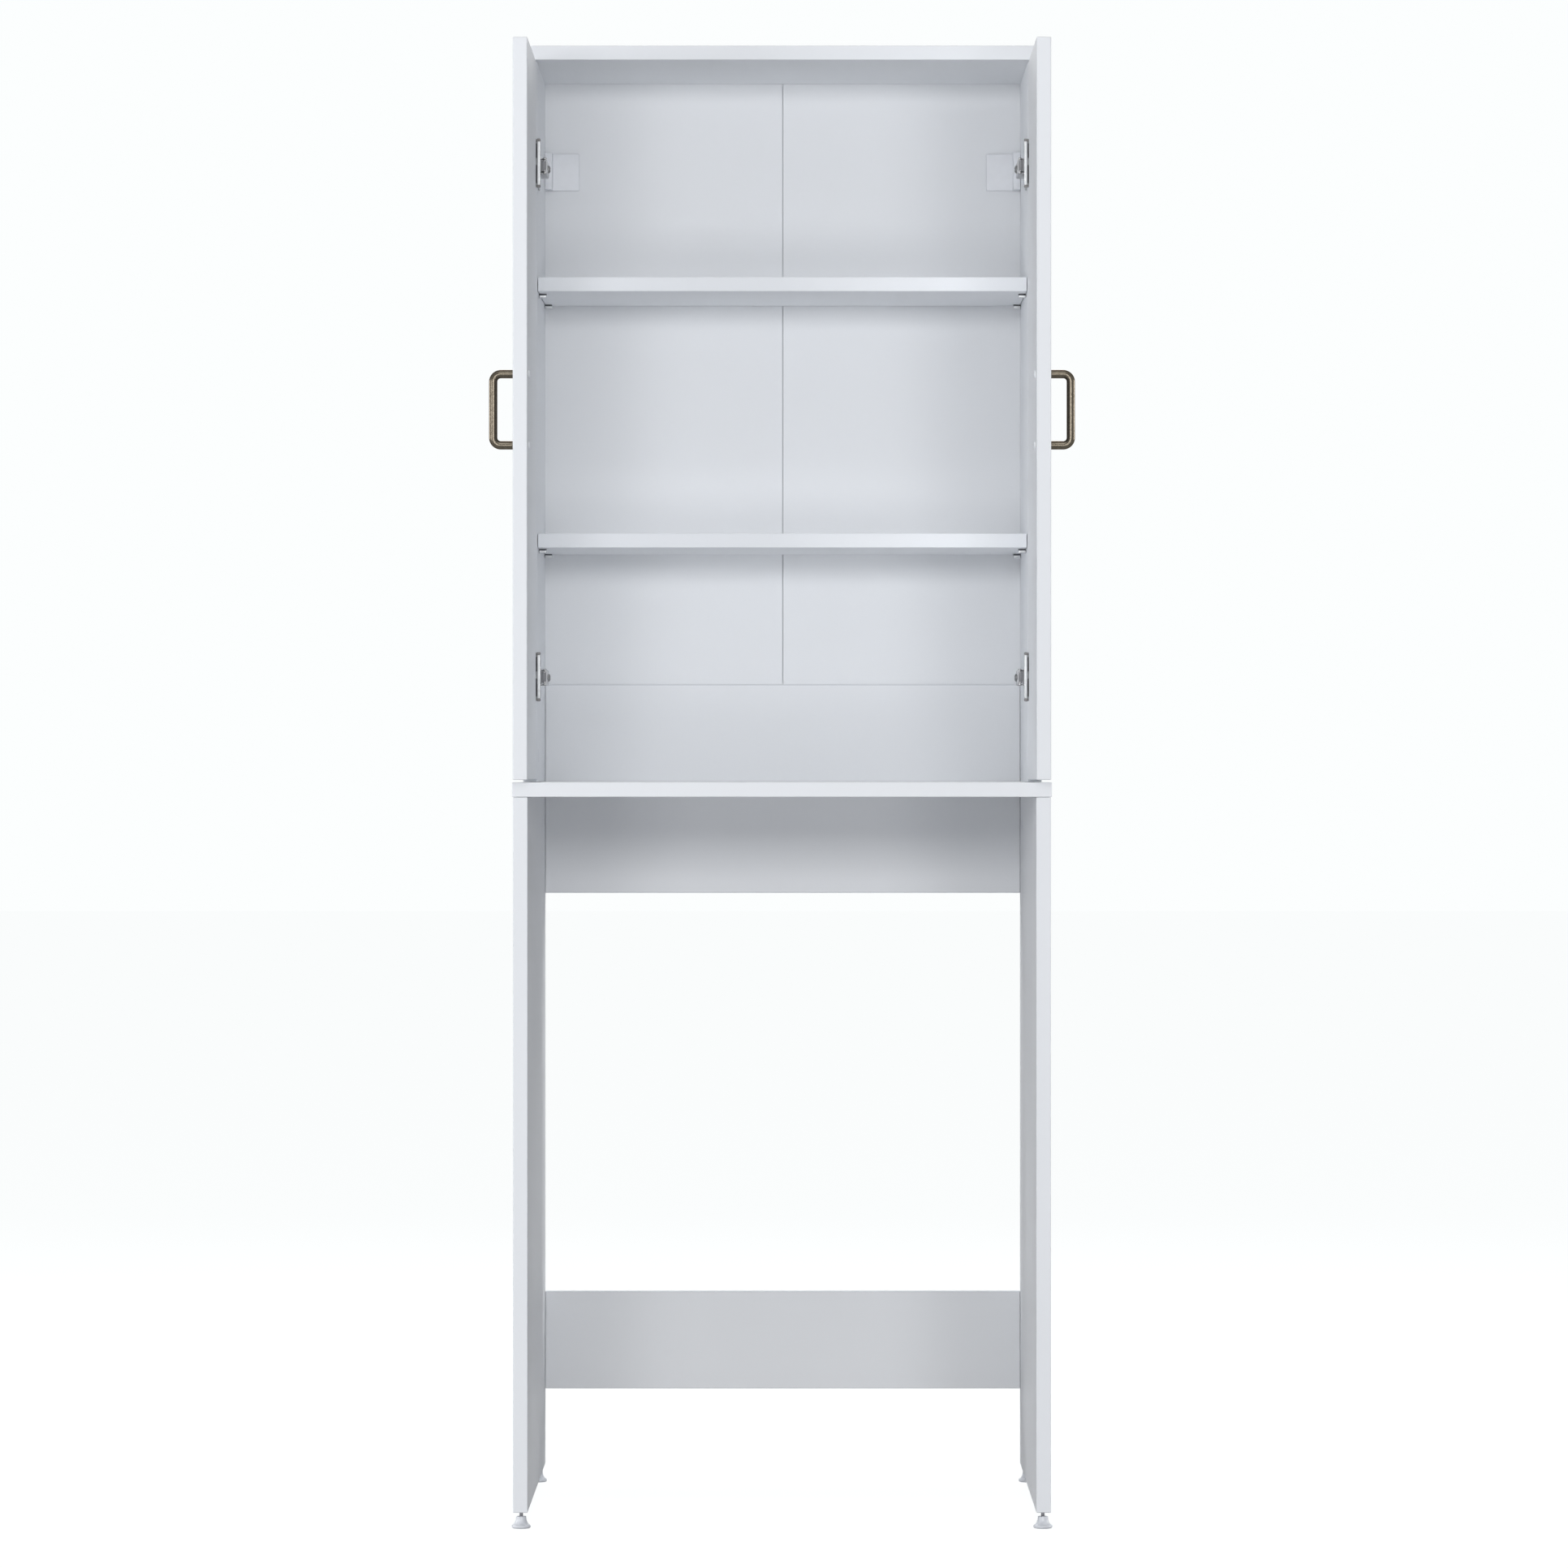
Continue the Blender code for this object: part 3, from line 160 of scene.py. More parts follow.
MIDDLE = (0.0, 0.0, 1.0)
lamp("front_lamp", (0.0, -9.6, 2.1), MIDDLE, 5.0, 1.0, 262)
lamp("left_lamp", (-4.21, -3.54, 1.3), MIDDLE, 1.6, 1.6, 66)
lamp("low_left_lamp", (-1.3, -5.0, 0.4), MIDDLE, 0.8, 0.8, 20)
lamp("low_right_lamp", (1.3, -5.0, 0.4), MIDDLE, 0.8, 0.8, 20)
lamp("top_lamp", (0.0, -3.0, 4.5), (0.0, -2.99, 0.0), 2.5, 2.5, 70)
lamp("left_side_lamp", (-5.0, 0.7, 1.6), (0.0, 0.7, 1.2), 1.4, 1.4, 80)
lamp("right_side_lamp", (5.0, 0.7, 1.6), (0.0, 0.7, 1.2), 1.4, 1.4, 105)
lamp("rear_lamp", (0.0, 3.6, 3.4), (0.0, 0.3, 1.0), 1.8, 1.8, 95)


# The carcass boards: lower and upper sides, tabletop, top panel and rear rails. Each is 18 mm
# chipboard with fine-textured white melamine faces and plastic bands glued round its edges. The edges
# that stand against the wall are left as sawn.
WHITE = (0.90, 0.918, 0.945, 1.0)
EDGE_WHITE = (0.835, 0.862, 0.902, 1.0)
GLUE_LINE = (0.62, 0.63, 0.67, 1.0)
CHIP_LIGHT = (0.62, 0.48, 0.32, 1.0)
CHIP_DARK = (0.33, 0.23, 0.14, 1.0)
BAND, LINE_SOFTNESS, GLUE_REACH = 0.0009, 0.00005, 0.00016
MELAMINE_SKIN, SKIN_SOFTNESS = 0.0003, 0.00015
FACING_REAR = (0.85, 0.95)
CLOUDS_PER_METRE, CHIPS_PER_METRE, PEARLS_PER_METRE = 2.2, 420.0, 950.0
CHIP_RELIEF, BOARD_RELIEF = 6.0, 0.00006
BOARD_GLOSS, CHIP_DULLNESS, BOARD_SPECULAR = (0.56, 0.62), 0.35, 0.2
CLOUD_SHADE = 0.985


def group_of(name, inputs, outputs):
    """A shader node group with named sockets; gives the group, its input node and output node."""
    group = bpy.data.node_groups.new(name, "ShaderNodeTree")
    for way, sockets in (("INPUT", inputs), ("OUTPUT", outputs)):
        for label, kind in sockets:
            group.interface.new_socket(label, in_out=way, socket_type="NodeSocket" + kind)
    return group, group.nodes.new("NodeGroupInput"), group.nodes.new("NodeGroupOutput")


def ramp(tree, value, low, high, start=0.0, end=1.0, smooth=True):
    """A value carried from one range to another and clamped, with soft ends if it is smooth."""
    made = put(tree, "ShaderNodeMapRange", interpolation_type="SMOOTHSTEP" if smooth else "LINEAR",
               From_Min=low, From_Max=high, To_Min=start, To_Max=end)
    tree.links.new(value, made.inputs["Value"])
    return made.outputs["Result"]


def noise_ramp(tree, value, start=0.0, end=1.0, smooth=True):
    """A noise value, most of which lies from 0.3 to 0.7, carried to another range."""
    return ramp(tree, value, 0.3, 0.7, start, end, smooth)


def noise_on(tree, place, scale, detail=2.0, roughness=0.5):
    """A noise value from 0 to 1 at a place, with so many features to a metre."""
    made = put(tree, "ShaderNodeTexNoise", Scale=scale, Detail=detail, Roughness=roughness)
    tree.links.new(place, made.inputs["Vector"])
    return made.outputs["Fac"]


# How a board's surface varies: the line of glue behind its edge bands, the bare chips of its sawn
# rear edge between the two melamine skins, and the fine texture pressed into the melamine.
board_surface, given, result = group_of(
    "board_surface",
    [("Low", "Vector"), ("High", "Vector"), ("Thin", "Vector"), ("Wide", "Vector"), ("Sawn", "Float")],
    [("Band", "Float"), ("Glue", "Float"), ("Chips", "Float"), ("Chip Shade", "Float"),
     ("Mottle", "Float"), ("Height", "Float")])
tree = board_surface
place = put(tree, "ShaderNodeTexCoord").outputs["Object"]
above = calc(tree, "SUBTRACT", place, given.outputs["Low"], "VectorMath")
below = calc(tree, "SUBTRACT", given.outputs["High"], place, "VectorMath")
inset = calc(tree, "MINIMUM", above, below, "VectorMath")


def parts_of(tree, vector):
    """A vector's x, y and z, or a colour's red, green and blue."""
    made = put(tree, "ShaderNodeSeparateXYZ")
    tree.links.new(vector, made.inputs[0])
    return made.outputs


def least(tree, vector, skipped):
    """The least of a vector's three parts, with the skipped ones pushed out of the way."""
    x, y, z = parts_of(tree, calc(tree, "ADD", vector, skipped, "VectorMath"))
    return calc(tree, "MINIMUM", calc(tree, "MINIMUM", x, y), z)


edge_gap = least(tree, inset, given.outputs["Thin"])
face_gap = least(tree, inset, given.outputs["Wide"])
tree.links.new(ramp(tree, edge_gap, BAND - LINE_SOFTNESS, BAND, 1.0, 0.0), result.inputs["Band"])
off_line = calc(tree, "ABSOLUTE", calc(tree, "SUBTRACT", edge_gap, BAND))
tree.links.new(ramp(tree, off_line, LINE_SOFTNESS, GLUE_REACH, 1.0, 0.0), result.inputs["Glue"])
facing = parts_of(tree, put(tree, "ShaderNodeTexCoord").outputs["Normal"])
rearward = ramp(tree, facing[1], *FACING_REAR)
core = ramp(tree, face_gap, MELAMINE_SKIN, MELAMINE_SKIN + SKIN_SOFTNESS)
sawn = calc(tree, "MULTIPLY", calc(tree, "MULTIPLY", rearward, core), given.outputs["Sawn"])
tree.links.new(sawn, result.inputs["Chips"])
chips = put(tree, "ShaderNodeTexVoronoi", Scale=CHIPS_PER_METRE)
tree.links.new(place, chips.inputs["Vector"])
chip_parts = parts_of(tree, chips.outputs["Color"])
tree.links.new(chip_parts[0], result.inputs["Chip Shade"])
tree.links.new(noise_on(tree, place, CLOUDS_PER_METRE, 3.0), result.inputs["Mottle"])
pearl = noise_on(tree, place, PEARLS_PER_METRE)
rough_core = calc(tree, "MULTIPLY", calc(tree, "MULTIPLY", chip_parts[1], sawn), CHIP_RELIEF)
tree.links.new(calc(tree, "ADD", pearl, rough_core), result.inputs["Height"])


def blank_material(name):
    """A new material with its Principled shader; gives the material, its tree and the shader."""
    made = bpy.data.materials.new(name)
    made.use_nodes = True
    return made, made.node_tree, made.node_tree.nodes["Principled BSDF"]


def blend_colours(tree, mask, first, second):
    """One colour where the mask is 0 and another where it is 1; each is a socket or fixed."""
    made = put(tree, "ShaderNodeMix", data_type="RGBA")
    feed(tree, (made.inputs[0], made.inputs[6], made.inputs[7]), (mask, first, second))
    return made.outputs[2]


def darker(colour, share):
    """A colour with its red, green and blue brought down to a share."""
    return [share * part for part in colour[:3]] + [1.0]


def dress(tree, shader, colour, roughness, height, strength, distance):
    """Gives a shader its colour, its roughness and a height that tilts its normal."""
    bump = put(tree, "ShaderNodeBump", Strength=strength, Distance=distance)
    tree.links.new(height, bump.inputs["Height"])
    feed(tree, [shader.inputs[name] for name in ("Base Color", "Roughness", "Normal")],
         (colour, roughness, bump.outputs[0]))


def board_finish(name, sawn_rear):
    """The laminate of one board, with its own edges as the limits of the bands. The board is thin
    along the shortest way of its box."""
    made, tree, shader = blank_material(name + "_laminate")
    shader.inputs["Specular IOR Level"].default_value = BOARD_SPECULAR
    low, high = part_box(name)
    extent = np.subtract(high, low)
    thin = [float(run == extent.min()) for run in extent]
    surface = put(tree, "ShaderNodeGroup", node_tree=board_surface, Low=low, High=high, Thin=thin,
                  Wide=[1 - share for share in thin], Sawn=float(sawn_rear))
    lighter = blend_colours(tree, noise_ramp(tree, surface.outputs["Mottle"], smooth=False),
                            darker(WHITE, CLOUD_SHADE), WHITE)
    banded = blend_colours(tree, surface.outputs["Band"], lighter, EDGE_WHITE)
    banded = blend_colours(tree, surface.outputs["Glue"], banded, GLUE_LINE)
    chip = blend_colours(tree, surface.outputs["Chip Shade"], CHIP_DARK, CHIP_LIGHT)
    colour = blend_colours(tree, surface.outputs["Chips"], banded, chip)
    dull = ramp(tree, surface.outputs["Chips"], 0.0, 1.0, 0.0, CHIP_DULLNESS)
    sheen = noise_ramp(tree, surface.outputs["Mottle"], *BOARD_GLOSS, smooth=False)
    dress(tree, shader, colour, calc(tree, "ADD", sheen, dull), surface.outputs["Height"], 0.25,
          BOARD_RELIEF)
    return made


def finish_node(name, material):
    """Gives a solid of the frame its finish and leaves its shape as it is."""
    nodes[name].data.materials.clear()
    nodes[name].data.materials.append(material)


for board in ("lower_side_left", "lower_side_right", "upper_side_left", "upper_side_right", "tabletop",
              "top_panel"):
    finish_node(board, board_finish(board, sawn_rear=True))
for rail in ("bottom", "middle", "upper"):
    finish_node("rear_rail_" + rail, board_finish("rear_rail_" + rail, sawn_rear=False))


# The cam locks in the boards: zinc discs, turned with a screwdriver, that draw the boards together.
# Those inside the cabinet are under white plastic caps, and those in the rails' rear faces are bare.
side_low, side_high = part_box("upper_side_right")
X_INNER, Y_CUPBOARD = side_low[0], side_low[1]
X_OUTER, Y_REAR = side_high[0], side_high[1]
Y_LOWER_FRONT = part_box("lower_side_right")[0][1]
Z_TABLE_UNDERSIDE, Z_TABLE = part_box("tabletop")[0][2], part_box("tabletop")[1][2]
Z_TOP_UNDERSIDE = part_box("top_panel")[0][2]
CAM, CAM_THICKNESS, CAM_SUNK = 0.0146, 0.0004, 0.00005
CAM_FROM_SIDE, CAM_RISE = 0.034, 0.033
CROSS_WIDTH, CROSS_DEPTH = 0.0022, 0.0006
CAP, CAP_RISE, CAP_FROM_BOARD = 0.0172, 0.0005, 0.034
LOWER_CAP_FRONT, LOWER_CAP_REAR, UPPER_CAP_FRONT = 0.060, 0.090, 0.045
PLASTIC, PATCH_SHADE = (0.86, 0.88, 0.92, 1.0), 0.97
MARKS_PER_METRE, PATCHES_PER_METRE, FINE_RELIEF = 260.0, 60.0, 0.00004
POLE = 0.0001

# How metal plating varies: faint tumbling marks in its colour and gloss, and fine lines drawn along
# it. Flow is the piece's own attribute, across in x and y and along in z.
plating, given, result = group_of(
    "plating", [("Along", "Float"), ("Across", "Float")],
    [("Tone", "Float"), ("Lines", "Float"), ("Height", "Float")])
tree = plating
flow = put(tree, "ShaderNodeAttribute", attribute_name="flow").outputs["Vector"]
stretch = put(tree, "ShaderNodeCombineXYZ")
feed(tree, stretch.inputs, [given.outputs[way] for way in ("Across", "Across", "Along")])
drawn = calc(tree, "MULTIPLY", flow, stretch.outputs[0], "VectorMath")
lines = noise_on(tree, drawn, 1.0, 3.0, 0.6)
tone = noise_on(tree, flow, MARKS_PER_METRE, 3.0)
tree.links.new(tone, result.inputs["Tone"])
tree.links.new(lines, result.inputs["Lines"])
tree.links.new(calc(tree, "ADD", lines, tone), result.inputs["Height"])


def metal(name, bright, dark, gloss, along=900.0, across=900.0, edge_tint=(1.0, 1.0, 1.0), bump=0.12):
    """A plated metal: bright and dark are its colours, gloss its least and greatest roughness, and
    along and across the marks to a metre each way."""
    made, tree, shader = blank_material(name)
    marks = put(tree, "ShaderNodeGroup", node_tree=plating, Along=along, Across=across)
    tone = noise_ramp(tree, marks.outputs["Tone"])
    colour = blend_colours(tree, tone, (*dark, 1.0), (*bright, 1.0))
    roughness = noise_ramp(tree, marks.outputs["Lines"], *gloss, smooth=False)
    shader.inputs["Metallic"].default_value = 1.0
    shader.inputs["Specular Tint"].default_value = (*edge_tint, 1.0)
    dress(tree, shader, colour, roughness, marks.outputs["Height"], bump, FINE_RELIEF)
    return made


def plastic(name, colour, gloss, grain, bump):
    """A moulded plastic with a faint grain, so many grains to a metre, and slightly uneven gloss."""
    made, tree, shader = blank_material(name)
    place = put(tree, "ShaderNodeTexCoord").outputs["Object"]
    uneven = noise_on(tree, place, PATCHES_PER_METRE)
    mottled = blend_colours(tree, noise_ramp(tree, uneven), darker(colour, PATCH_SHADE), colour)
    dress(tree, shader, mottled, noise_ramp(tree, uneven, *gloss), noise_on(tree, place, grain), bump,
          FINE_RELIEF)
    return made


cast_zinc = metal("cast_zinc", (0.50, 0.51, 0.53), (0.36, 0.37, 0.39), gloss=(0.34, 0.5))
cap_plastic = plastic("cap_plastic", PLASTIC, gloss=(0.36, 0.44), grain=900.0, bump=0.2)


def sections(points, flow=None, finish=0):
    """A closed shell through cross-sections: an array of m sections of n points each. Each section
    is joined to the next by n four-sided faces, and the first and last are closed by one face each."""
    m, n = points.shape[:2]
    index = np.arange(m * n).reshape(m, n)
    beside = np.roll(index, -1, axis=1)
    quads = np.stack([index[:-1], beside[:-1], beside[1:], index[1:]], axis=-1).reshape(-1, 4)
    flat = points.reshape(-1, 3)
    return flat, quads, [index[0], index[-1]], flat if flow is None else flow.reshape(-1, 3), finish


def placed(part, place):
    """A part with each of its points moved by a function of the whole array of points."""
    points, quads, caps, flow, finish = part
    return place(points), quads, caps, flow, finish


def make_piece(name, parts, materials, body, stands_for=(), smooth_below=38):
    """One object of closed shells that rides on a body, with its faces turned outwards. The walls
    are shaded smooth and the faces that close the shells flat."""
    starts = np.cumsum([0] + [len(part[0]) for part in parts])
    faces, finishes, smooth = [], [], []
    for start, (points, quads, caps, flow, finish) in zip(starts, parts):
        faces += (quads + start).tolist() + [(cap + start).tolist() for cap in caps]
        finishes += [finish] * (len(quads) + len(caps))
        smooth += [True] * len(quads) + [False] * len(caps)
    mesh = bpy.data.meshes.new(name)
    mesh.from_pydata(np.concatenate([part[0] for part in parts]).tolist(), [], faces)
    mesh.polygons.foreach_set("material_index", finishes)
    shell = bmesh.new()
    shell.from_mesh(mesh)
    bmesh.ops.recalc_face_normals(shell, faces=shell.faces)
    shell.to_mesh(mesh)
    shell.free()
    attribute = mesh.attributes.new("flow", "FLOAT_VECTOR", "POINT")
    attribute.data.foreach_set("vector", np.concatenate([part[3] for part in parts]).astype(
        np.float32).ravel())
    mesh.polygons.foreach_set("use_smooth", smooth)
    mesh.set_sharp_from_angle(angle=radians(smooth_below))
    for material in materials:
        mesh.materials.append(material)
    made = bpy.data.objects.new(name, mesh)
    scene.collection.objects.link(made)
    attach(made, body)
    if stands_for:
        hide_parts(*stands_for)


def turned(radius, height, count=40, finish=0):
    """A turned shell about the z axis: at each height of the profile, a circle of the radius there."""
    turn = np.linspace(0, 2 * pi, count, endpoint=False)
    radius, height = np.asarray(radius)[:, None], np.asarray(height)[:, None]
    points = np.stack([radius * np.cos(turn), radius * np.sin(turn), height + 0 * turn], axis=-1)
    return sections(points, finish=finish)


def driven(points, reach, width, depth):
    """Sinks a cross for a screwdriver into points about the z axis. A point is lowered by the depth
    where it lies within half the width of either arm and within the reach, with sloped walls."""
    x, y = np.abs(points[:, 0]), np.abs(points[:, 1])
    wall = width / 4
    in_arm = np.clip((width / 2 - np.minimum(x, y)) / wall + 0.5, 0, 1)
    in_reach = np.clip((reach - np.maximum(x, y)) / wall + 0.5, 0, 1)
    sunk = points.copy()
    sunk[:, 2] -= depth * in_arm * in_reach
    return sunk


def cam_disc(diameter, thickness, rings=12, count=48):
    """A disc with a soft edge and a cross for the screwdriver in its face."""
    radius = np.concatenate([np.linspace(POLE, diameter / 2 - 0.0004, rings),
                             [diameter / 2 - 0.0001, diameter / 2, diameter / 2]])
    height = np.concatenate([np.zeros(rings), [-0.0001, -0.0003, -thickness]])
    points, *rest = turned(radius, height, count)
    face = driven(points[:rings * count], diameter * 0.3, CROSS_WIDTH, CROSS_DEPTH)
    return np.concatenate([face, points[rings * count:]]), *rest


def cap_disc(diameter, rise, rim=0.0002, fall_share=0.5):
    """A low dome with a thin rim: its height falls by the share with the fourth power of the distance
    from its middle."""
    share = np.linspace(0.01, 1, 14)
    radius = np.concatenate([share * (diameter / 2 - rim), [diameter / 2, diameter / 2]])
    height = np.concatenate([rise * (1 - fall_share * share ** 4), [rim / 2, rim / 10]])
    return turned(radius, height, 48)


def from_rear(x, z):
    """Puts a part drawn about the z axis on the rails' rear faces, with its z to the rear."""
    return lambda p: np.stack([x + p[:, 0], Y_REAR - CAM_SUNK + p[:, 2], z + p[:, 1]], 1)


def from_side(side, y, z, sunk=0.0):
    """Puts a part drawn about the z axis on a side's inner face, with its z towards the middle."""
    return lambda p: np.stack([side * (X_INNER - sunk - p[:, 2]), y + p[:, 0], z + p[:, 1]], 1)


rail_cams = []
for rail in ("bottom", "middle", "upper"):
    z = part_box("rear_rail_" + rail)[0][2] + CAM_RISE
    rail_cams += [placed(cam_disc(CAM, CAM_THICKNESS), from_rear(side * (X_INNER - CAM_FROM_SIDE), z))
                  for side in (-1, 1)]
make_piece("rail_cams", rail_cams, [cast_zinc], "cabinet")
caps = []
for y, z in ((Y_LOWER_FRONT + LOWER_CAP_FRONT, Z_TABLE_UNDERSIDE - CAP_FROM_BOARD),
             (Y_REAR - LOWER_CAP_REAR, Z_TABLE_UNDERSIDE - CAP_FROM_BOARD),
             (Y_CUPBOARD + UPPER_CAP_FRONT, Z_TABLE + CAP_FROM_BOARD),
             (Y_CUPBOARD + UPPER_CAP_FRONT, Z_TOP_UNDERSIDE - CAP_FROM_BOARD)):
    caps += [placed(cap_disc(CAP, CAP_RISE), from_side(side, y, z)) for side in (-1, 1)]
make_piece("cam_caps", caps, [cap_plastic], "cabinet")


# The back: two halves of 3 mm hardboard in grooves, lacquered white inside and bare brown outside.
# A strip of white tape behind joins the halves. Along the seam their lacquer is painted darker, a painted
# shadow for the gap between them.
SEAM_PAINTED_SHADOW = (0.64, 0.66, 0.69, 1.0)
FIBRE_LIGHT = (0.40, 0.27, 0.16, 1.0)
FIBRE_DARK = (0.27, 0.17, 0.095, 1.0)
SEAM_EDGE, SEAM_REACH = 0.0005, 0.0011
LACQUER_ROUGHNESS, FIBRE_ROUGHNESS, FIBRE_RELIEF = 0.5, 0.8, 0.00008
FIBRES_PER_METRE, FUZZ_PER_METRE, BACK_CLOUDS_PER_METRE = 260.0, 700.0, 3.0
TAPE, TAPE_THICKNESS, TAPE_STAND_OFF = 0.024, 0.00025, 0.00002
TAPE_ABOVE_RAIL, TAPE_BELOW_TOP = 0.0017, 0.0025

hardboard, tree, shader = blank_material("hardboard")
shader.inputs["Specular IOR Level"].default_value = BOARD_SPECULAR
place = put(tree, "ShaderNodeTexCoord")
bare = ramp(tree, parts_of(tree, place.outputs["Normal"])[1], 0.4, 0.6)
fibres = noise_on(tree, place.outputs["Object"], FIBRES_PER_METRE, 5.0, 0.65)
brown = blend_colours(tree, fibres, FIBRE_DARK, FIBRE_LIGHT)
clouds = noise_on(tree, place.outputs["Object"], BACK_CLOUDS_PER_METRE, 3.0)
lacquer = blend_colours(tree, noise_ramp(tree, clouds, smooth=False), darker(WHITE, CLOUD_SHADE), WHITE)
# Painted shadow: within about a millimetre of the seam the lacquer is darkened, as if the gap between the
# halves were in shade.
off_seam = calc(tree, "ABSOLUTE", parts_of(tree, place.outputs["Object"])[0])
lacquer = blend_colours(tree, ramp(tree, off_seam, SEAM_EDGE, SEAM_REACH, 1.0, 0.0), lacquer, SEAM_PAINTED_SHADOW)
dress(tree, shader, blend_colours(tree, bare, lacquer, brown),
      ramp(tree, bare, 0.0, 1.0, LACQUER_ROUGHNESS, FIBRE_ROUGHNESS),
      noise_on(tree, place.outputs["Object"], FUZZ_PER_METRE, 3.0), 0.3, FIBRE_RELIEF)
finish_node("back_panel_left", hardboard)
finish_node("back_panel_right", hardboard)


def strip(length, width, rise, count=24):
    """A long low strip: its cross-section, a superellipse as wide as the width and as deep as the
    rise, is carried straight along z."""
    turn = np.linspace(0, 2 * pi, count, endpoint=False)
    cosine, sine = (np.sign(wave) * np.abs(wave) ** 0.3 for wave in (np.cos(turn), np.sin(turn)))
    across, depth = cosine * width / 2, (sine + 1) * rise / 2
    along = np.linspace(0, length, 8)[:, None]
    return sections(np.stack([across + 0 * along, depth + 0 * along, along + 0 * turn], axis=-1))


tape_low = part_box("rear_rail_upper")[1][2] + TAPE_ABOVE_RAIL
tape = strip(Z_TOP_UNDERSIDE - TAPE_BELOW_TOP - tape_low, TAPE, TAPE_THICKNESS)
tape_corner = np.array([0.0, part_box("back_panel_left")[1][1] + TAPE_STAND_OFF, tape_low])
make_piece("back_seam_tape", [placed(tape, lambda p: p + tape_corner)], [cap_plastic], "cabinet")


# The shelves: the same laminated board, loose on four pins each, a little short of the sides. Each
# pin is a nickel-plated peg with a flat tab and a dark soft pad that keeps the shelf from sliding.
TAB, TAB_THICKNESS, TAB_ROUND, TAB_ARRIS = 0.010, 0.0033, 0.0012, 0.0005
PAD_THICKNESS, PAD_ROUND, PAD_INSET, PAD_FROM_WALL = 0.0013, 0.001, 0.0003, 0.0004
PIN, PIN_DEPTH, COLLAR, COLLAR_THICKNESS = 0.005, 0.008, 0.0074, 0.0006
COLLAR_FLATTENED = 0.66
CLEAR = 0.0003
SIDES = ("left", -1), ("right", 1)

for shelf in ("shelf_lower", "shelf_upper"):
    finish_node(shelf, board_finish(shelf, sawn_rear=True))
nickel = metal("nickel", (0.66, 0.67, 0.68), (0.60, 0.61, 0.62), gloss=(0.4, 0.52), along=500.0,
               across=500.0)
# The same near-black plastic also serves the hinges as a painted shadow in the gap under each cup's lip.
pad_and_gap_shadow = plastic("pad_and_gap_shadow", (0.035, 0.035, 0.04, 1.0), gloss=(0.55, 0.7), grain=1500.0, bump=0.3)


def rect(x0, x1, y0, y1):
    """The four corners of a rectangle, anticlockwise."""
    return [(x0, y0), (x1, y0), (x1, y1), (x0, y1)]


def rounded(corners, radius, steps=4):
    """An outline with each corner replaced by an arc of the radius that touches both its sides. One
    radius serves all the corners, or there is one for each."""
    corners = np.asarray(corners, float)
    radius = np.broadcast_to(radius, len(corners))[:, None]
    back, on = np.roll(corners, 1, axis=0) - corners, np.roll(corners, -1, axis=0) - corners
    back, on = (leg / np.linalg.norm(leg, axis=1)[:, None] for leg in (back, on))
    half = np.arccos(np.clip((back * on).sum(1), -1, 1))[:, None] / 2
    middle = (back + on) / np.linalg.norm(back + on, axis=1)[:, None]
    centre = corners + middle * radius / np.sin(half)
    start, end = (corners + leg * radius / np.tan(half) - centre for leg in (back, on))
    share = np.linspace(0, 1, steps + 1)[:, None]
    arcs = start[:, None] * (1 - share) + end[:, None] * share
    arcs *= radius[:, None] / np.linalg.norm(arcs, axis=2)[:, :, None]
    return (centre[:, None] + arcs).reshape(-1, 2)


def slab(outline, low, high, arris, steps=3, finish=0):
    """A plate whose outline lies in x and y and which is carried from a low z to a high z. Near both
    faces the outline draws in, square to itself, along a quarter circle of the arris."""
    ahead = np.roll(outline, -1, axis=0) - np.roll(outline, 1, axis=0)
    ahead /= np.linalg.norm(ahead, axis=1)[:, None]
    x, y = outline.T
    way = np.sign((x * np.roll(y, -1) - np.roll(x, -1) * y).sum())
    inward = way * np.stack([-ahead[:, 1], ahead[:, 0]], axis=-1)
    turn = np.linspace(0, pi / 2, steps + 1)
    gap = arris * (1 - np.sin(turn))
    gap = np.concatenate([gap, gap[::-1]])[:, None, None]
    z = np.concatenate([low + arris * (1 - np.cos(turn)), high - arris * (1 - np.cos(turn[::-1]))])
    height = np.broadcast_to(z[:, None, None], (len(z), len(outline), 1))
    return sections(np.concatenate([outline + gap * inward, height], axis=-1), finish=finish)


def middle_of(name):
    """The middle of a solid's box."""
    return np.add(*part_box(name)) / 2


def shelf_peg(top):
    """A support's tab, pad and pin under a shelf whose underside is at the top: x runs from the side
    panel's face and y from the pin's middle. The pin is turned about x and flattened to fit the tab."""
    tab_top = top - PAD_THICKNESS
    tab_low = tab_top - TAB_THICKNESS
    tab = slab(rounded(rect(0, TAB, -TAB / 2, TAB / 2), TAB_ROUND), tab_low, tab_top, TAB_ARRIS)
    pad_half = TAB / 2 - PAD_INSET
    pad_outline = rounded(rect(PAD_FROM_WALL, TAB - PAD_INSET, -pad_half, pad_half), PAD_ROUND)
    pad = slab(pad_outline, tab_top - 0.0002, top, PAD_INSET, finish=1)
    pin = turned([POLE, PIN / 2 - 0.0004, PIN / 2, PIN / 2, COLLAR / 2, COLLAR / 2, POLE],
                 [-PIN_DEPTH, -PIN_DEPTH, -PIN_DEPTH + 0.0006, -0.0001, -0.0001, COLLAR_THICKNESS,
                  COLLAR_THICKNESS])
    pin_z = (tab_low + tab_top) / 2
    return tab, pad, placed(pin, lambda p: np.stack(
        [p[:, 2], p[:, 0], pin_z + p[:, 1] * COLLAR_FLATTENED], 1))


for level in ("lower", "upper"):
    for end in ("front", "rear"):
        for name, side in SIDES:
            support = f"shelf_support_{level}_{end}_{name}"
            y, top = middle_of(support)[1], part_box(support)[1][2]
            peg = [placed(part, lambda p: np.stack(
                [side * (X_INNER - CLEAR - p[:, 0]), y + p[:, 1], p[:, 2]], 1)) for part in shelf_peg(top)]
            make_piece(support + "_peg", peg, [nickel, pad_and_gap_shadow], "cabinet", (support,))


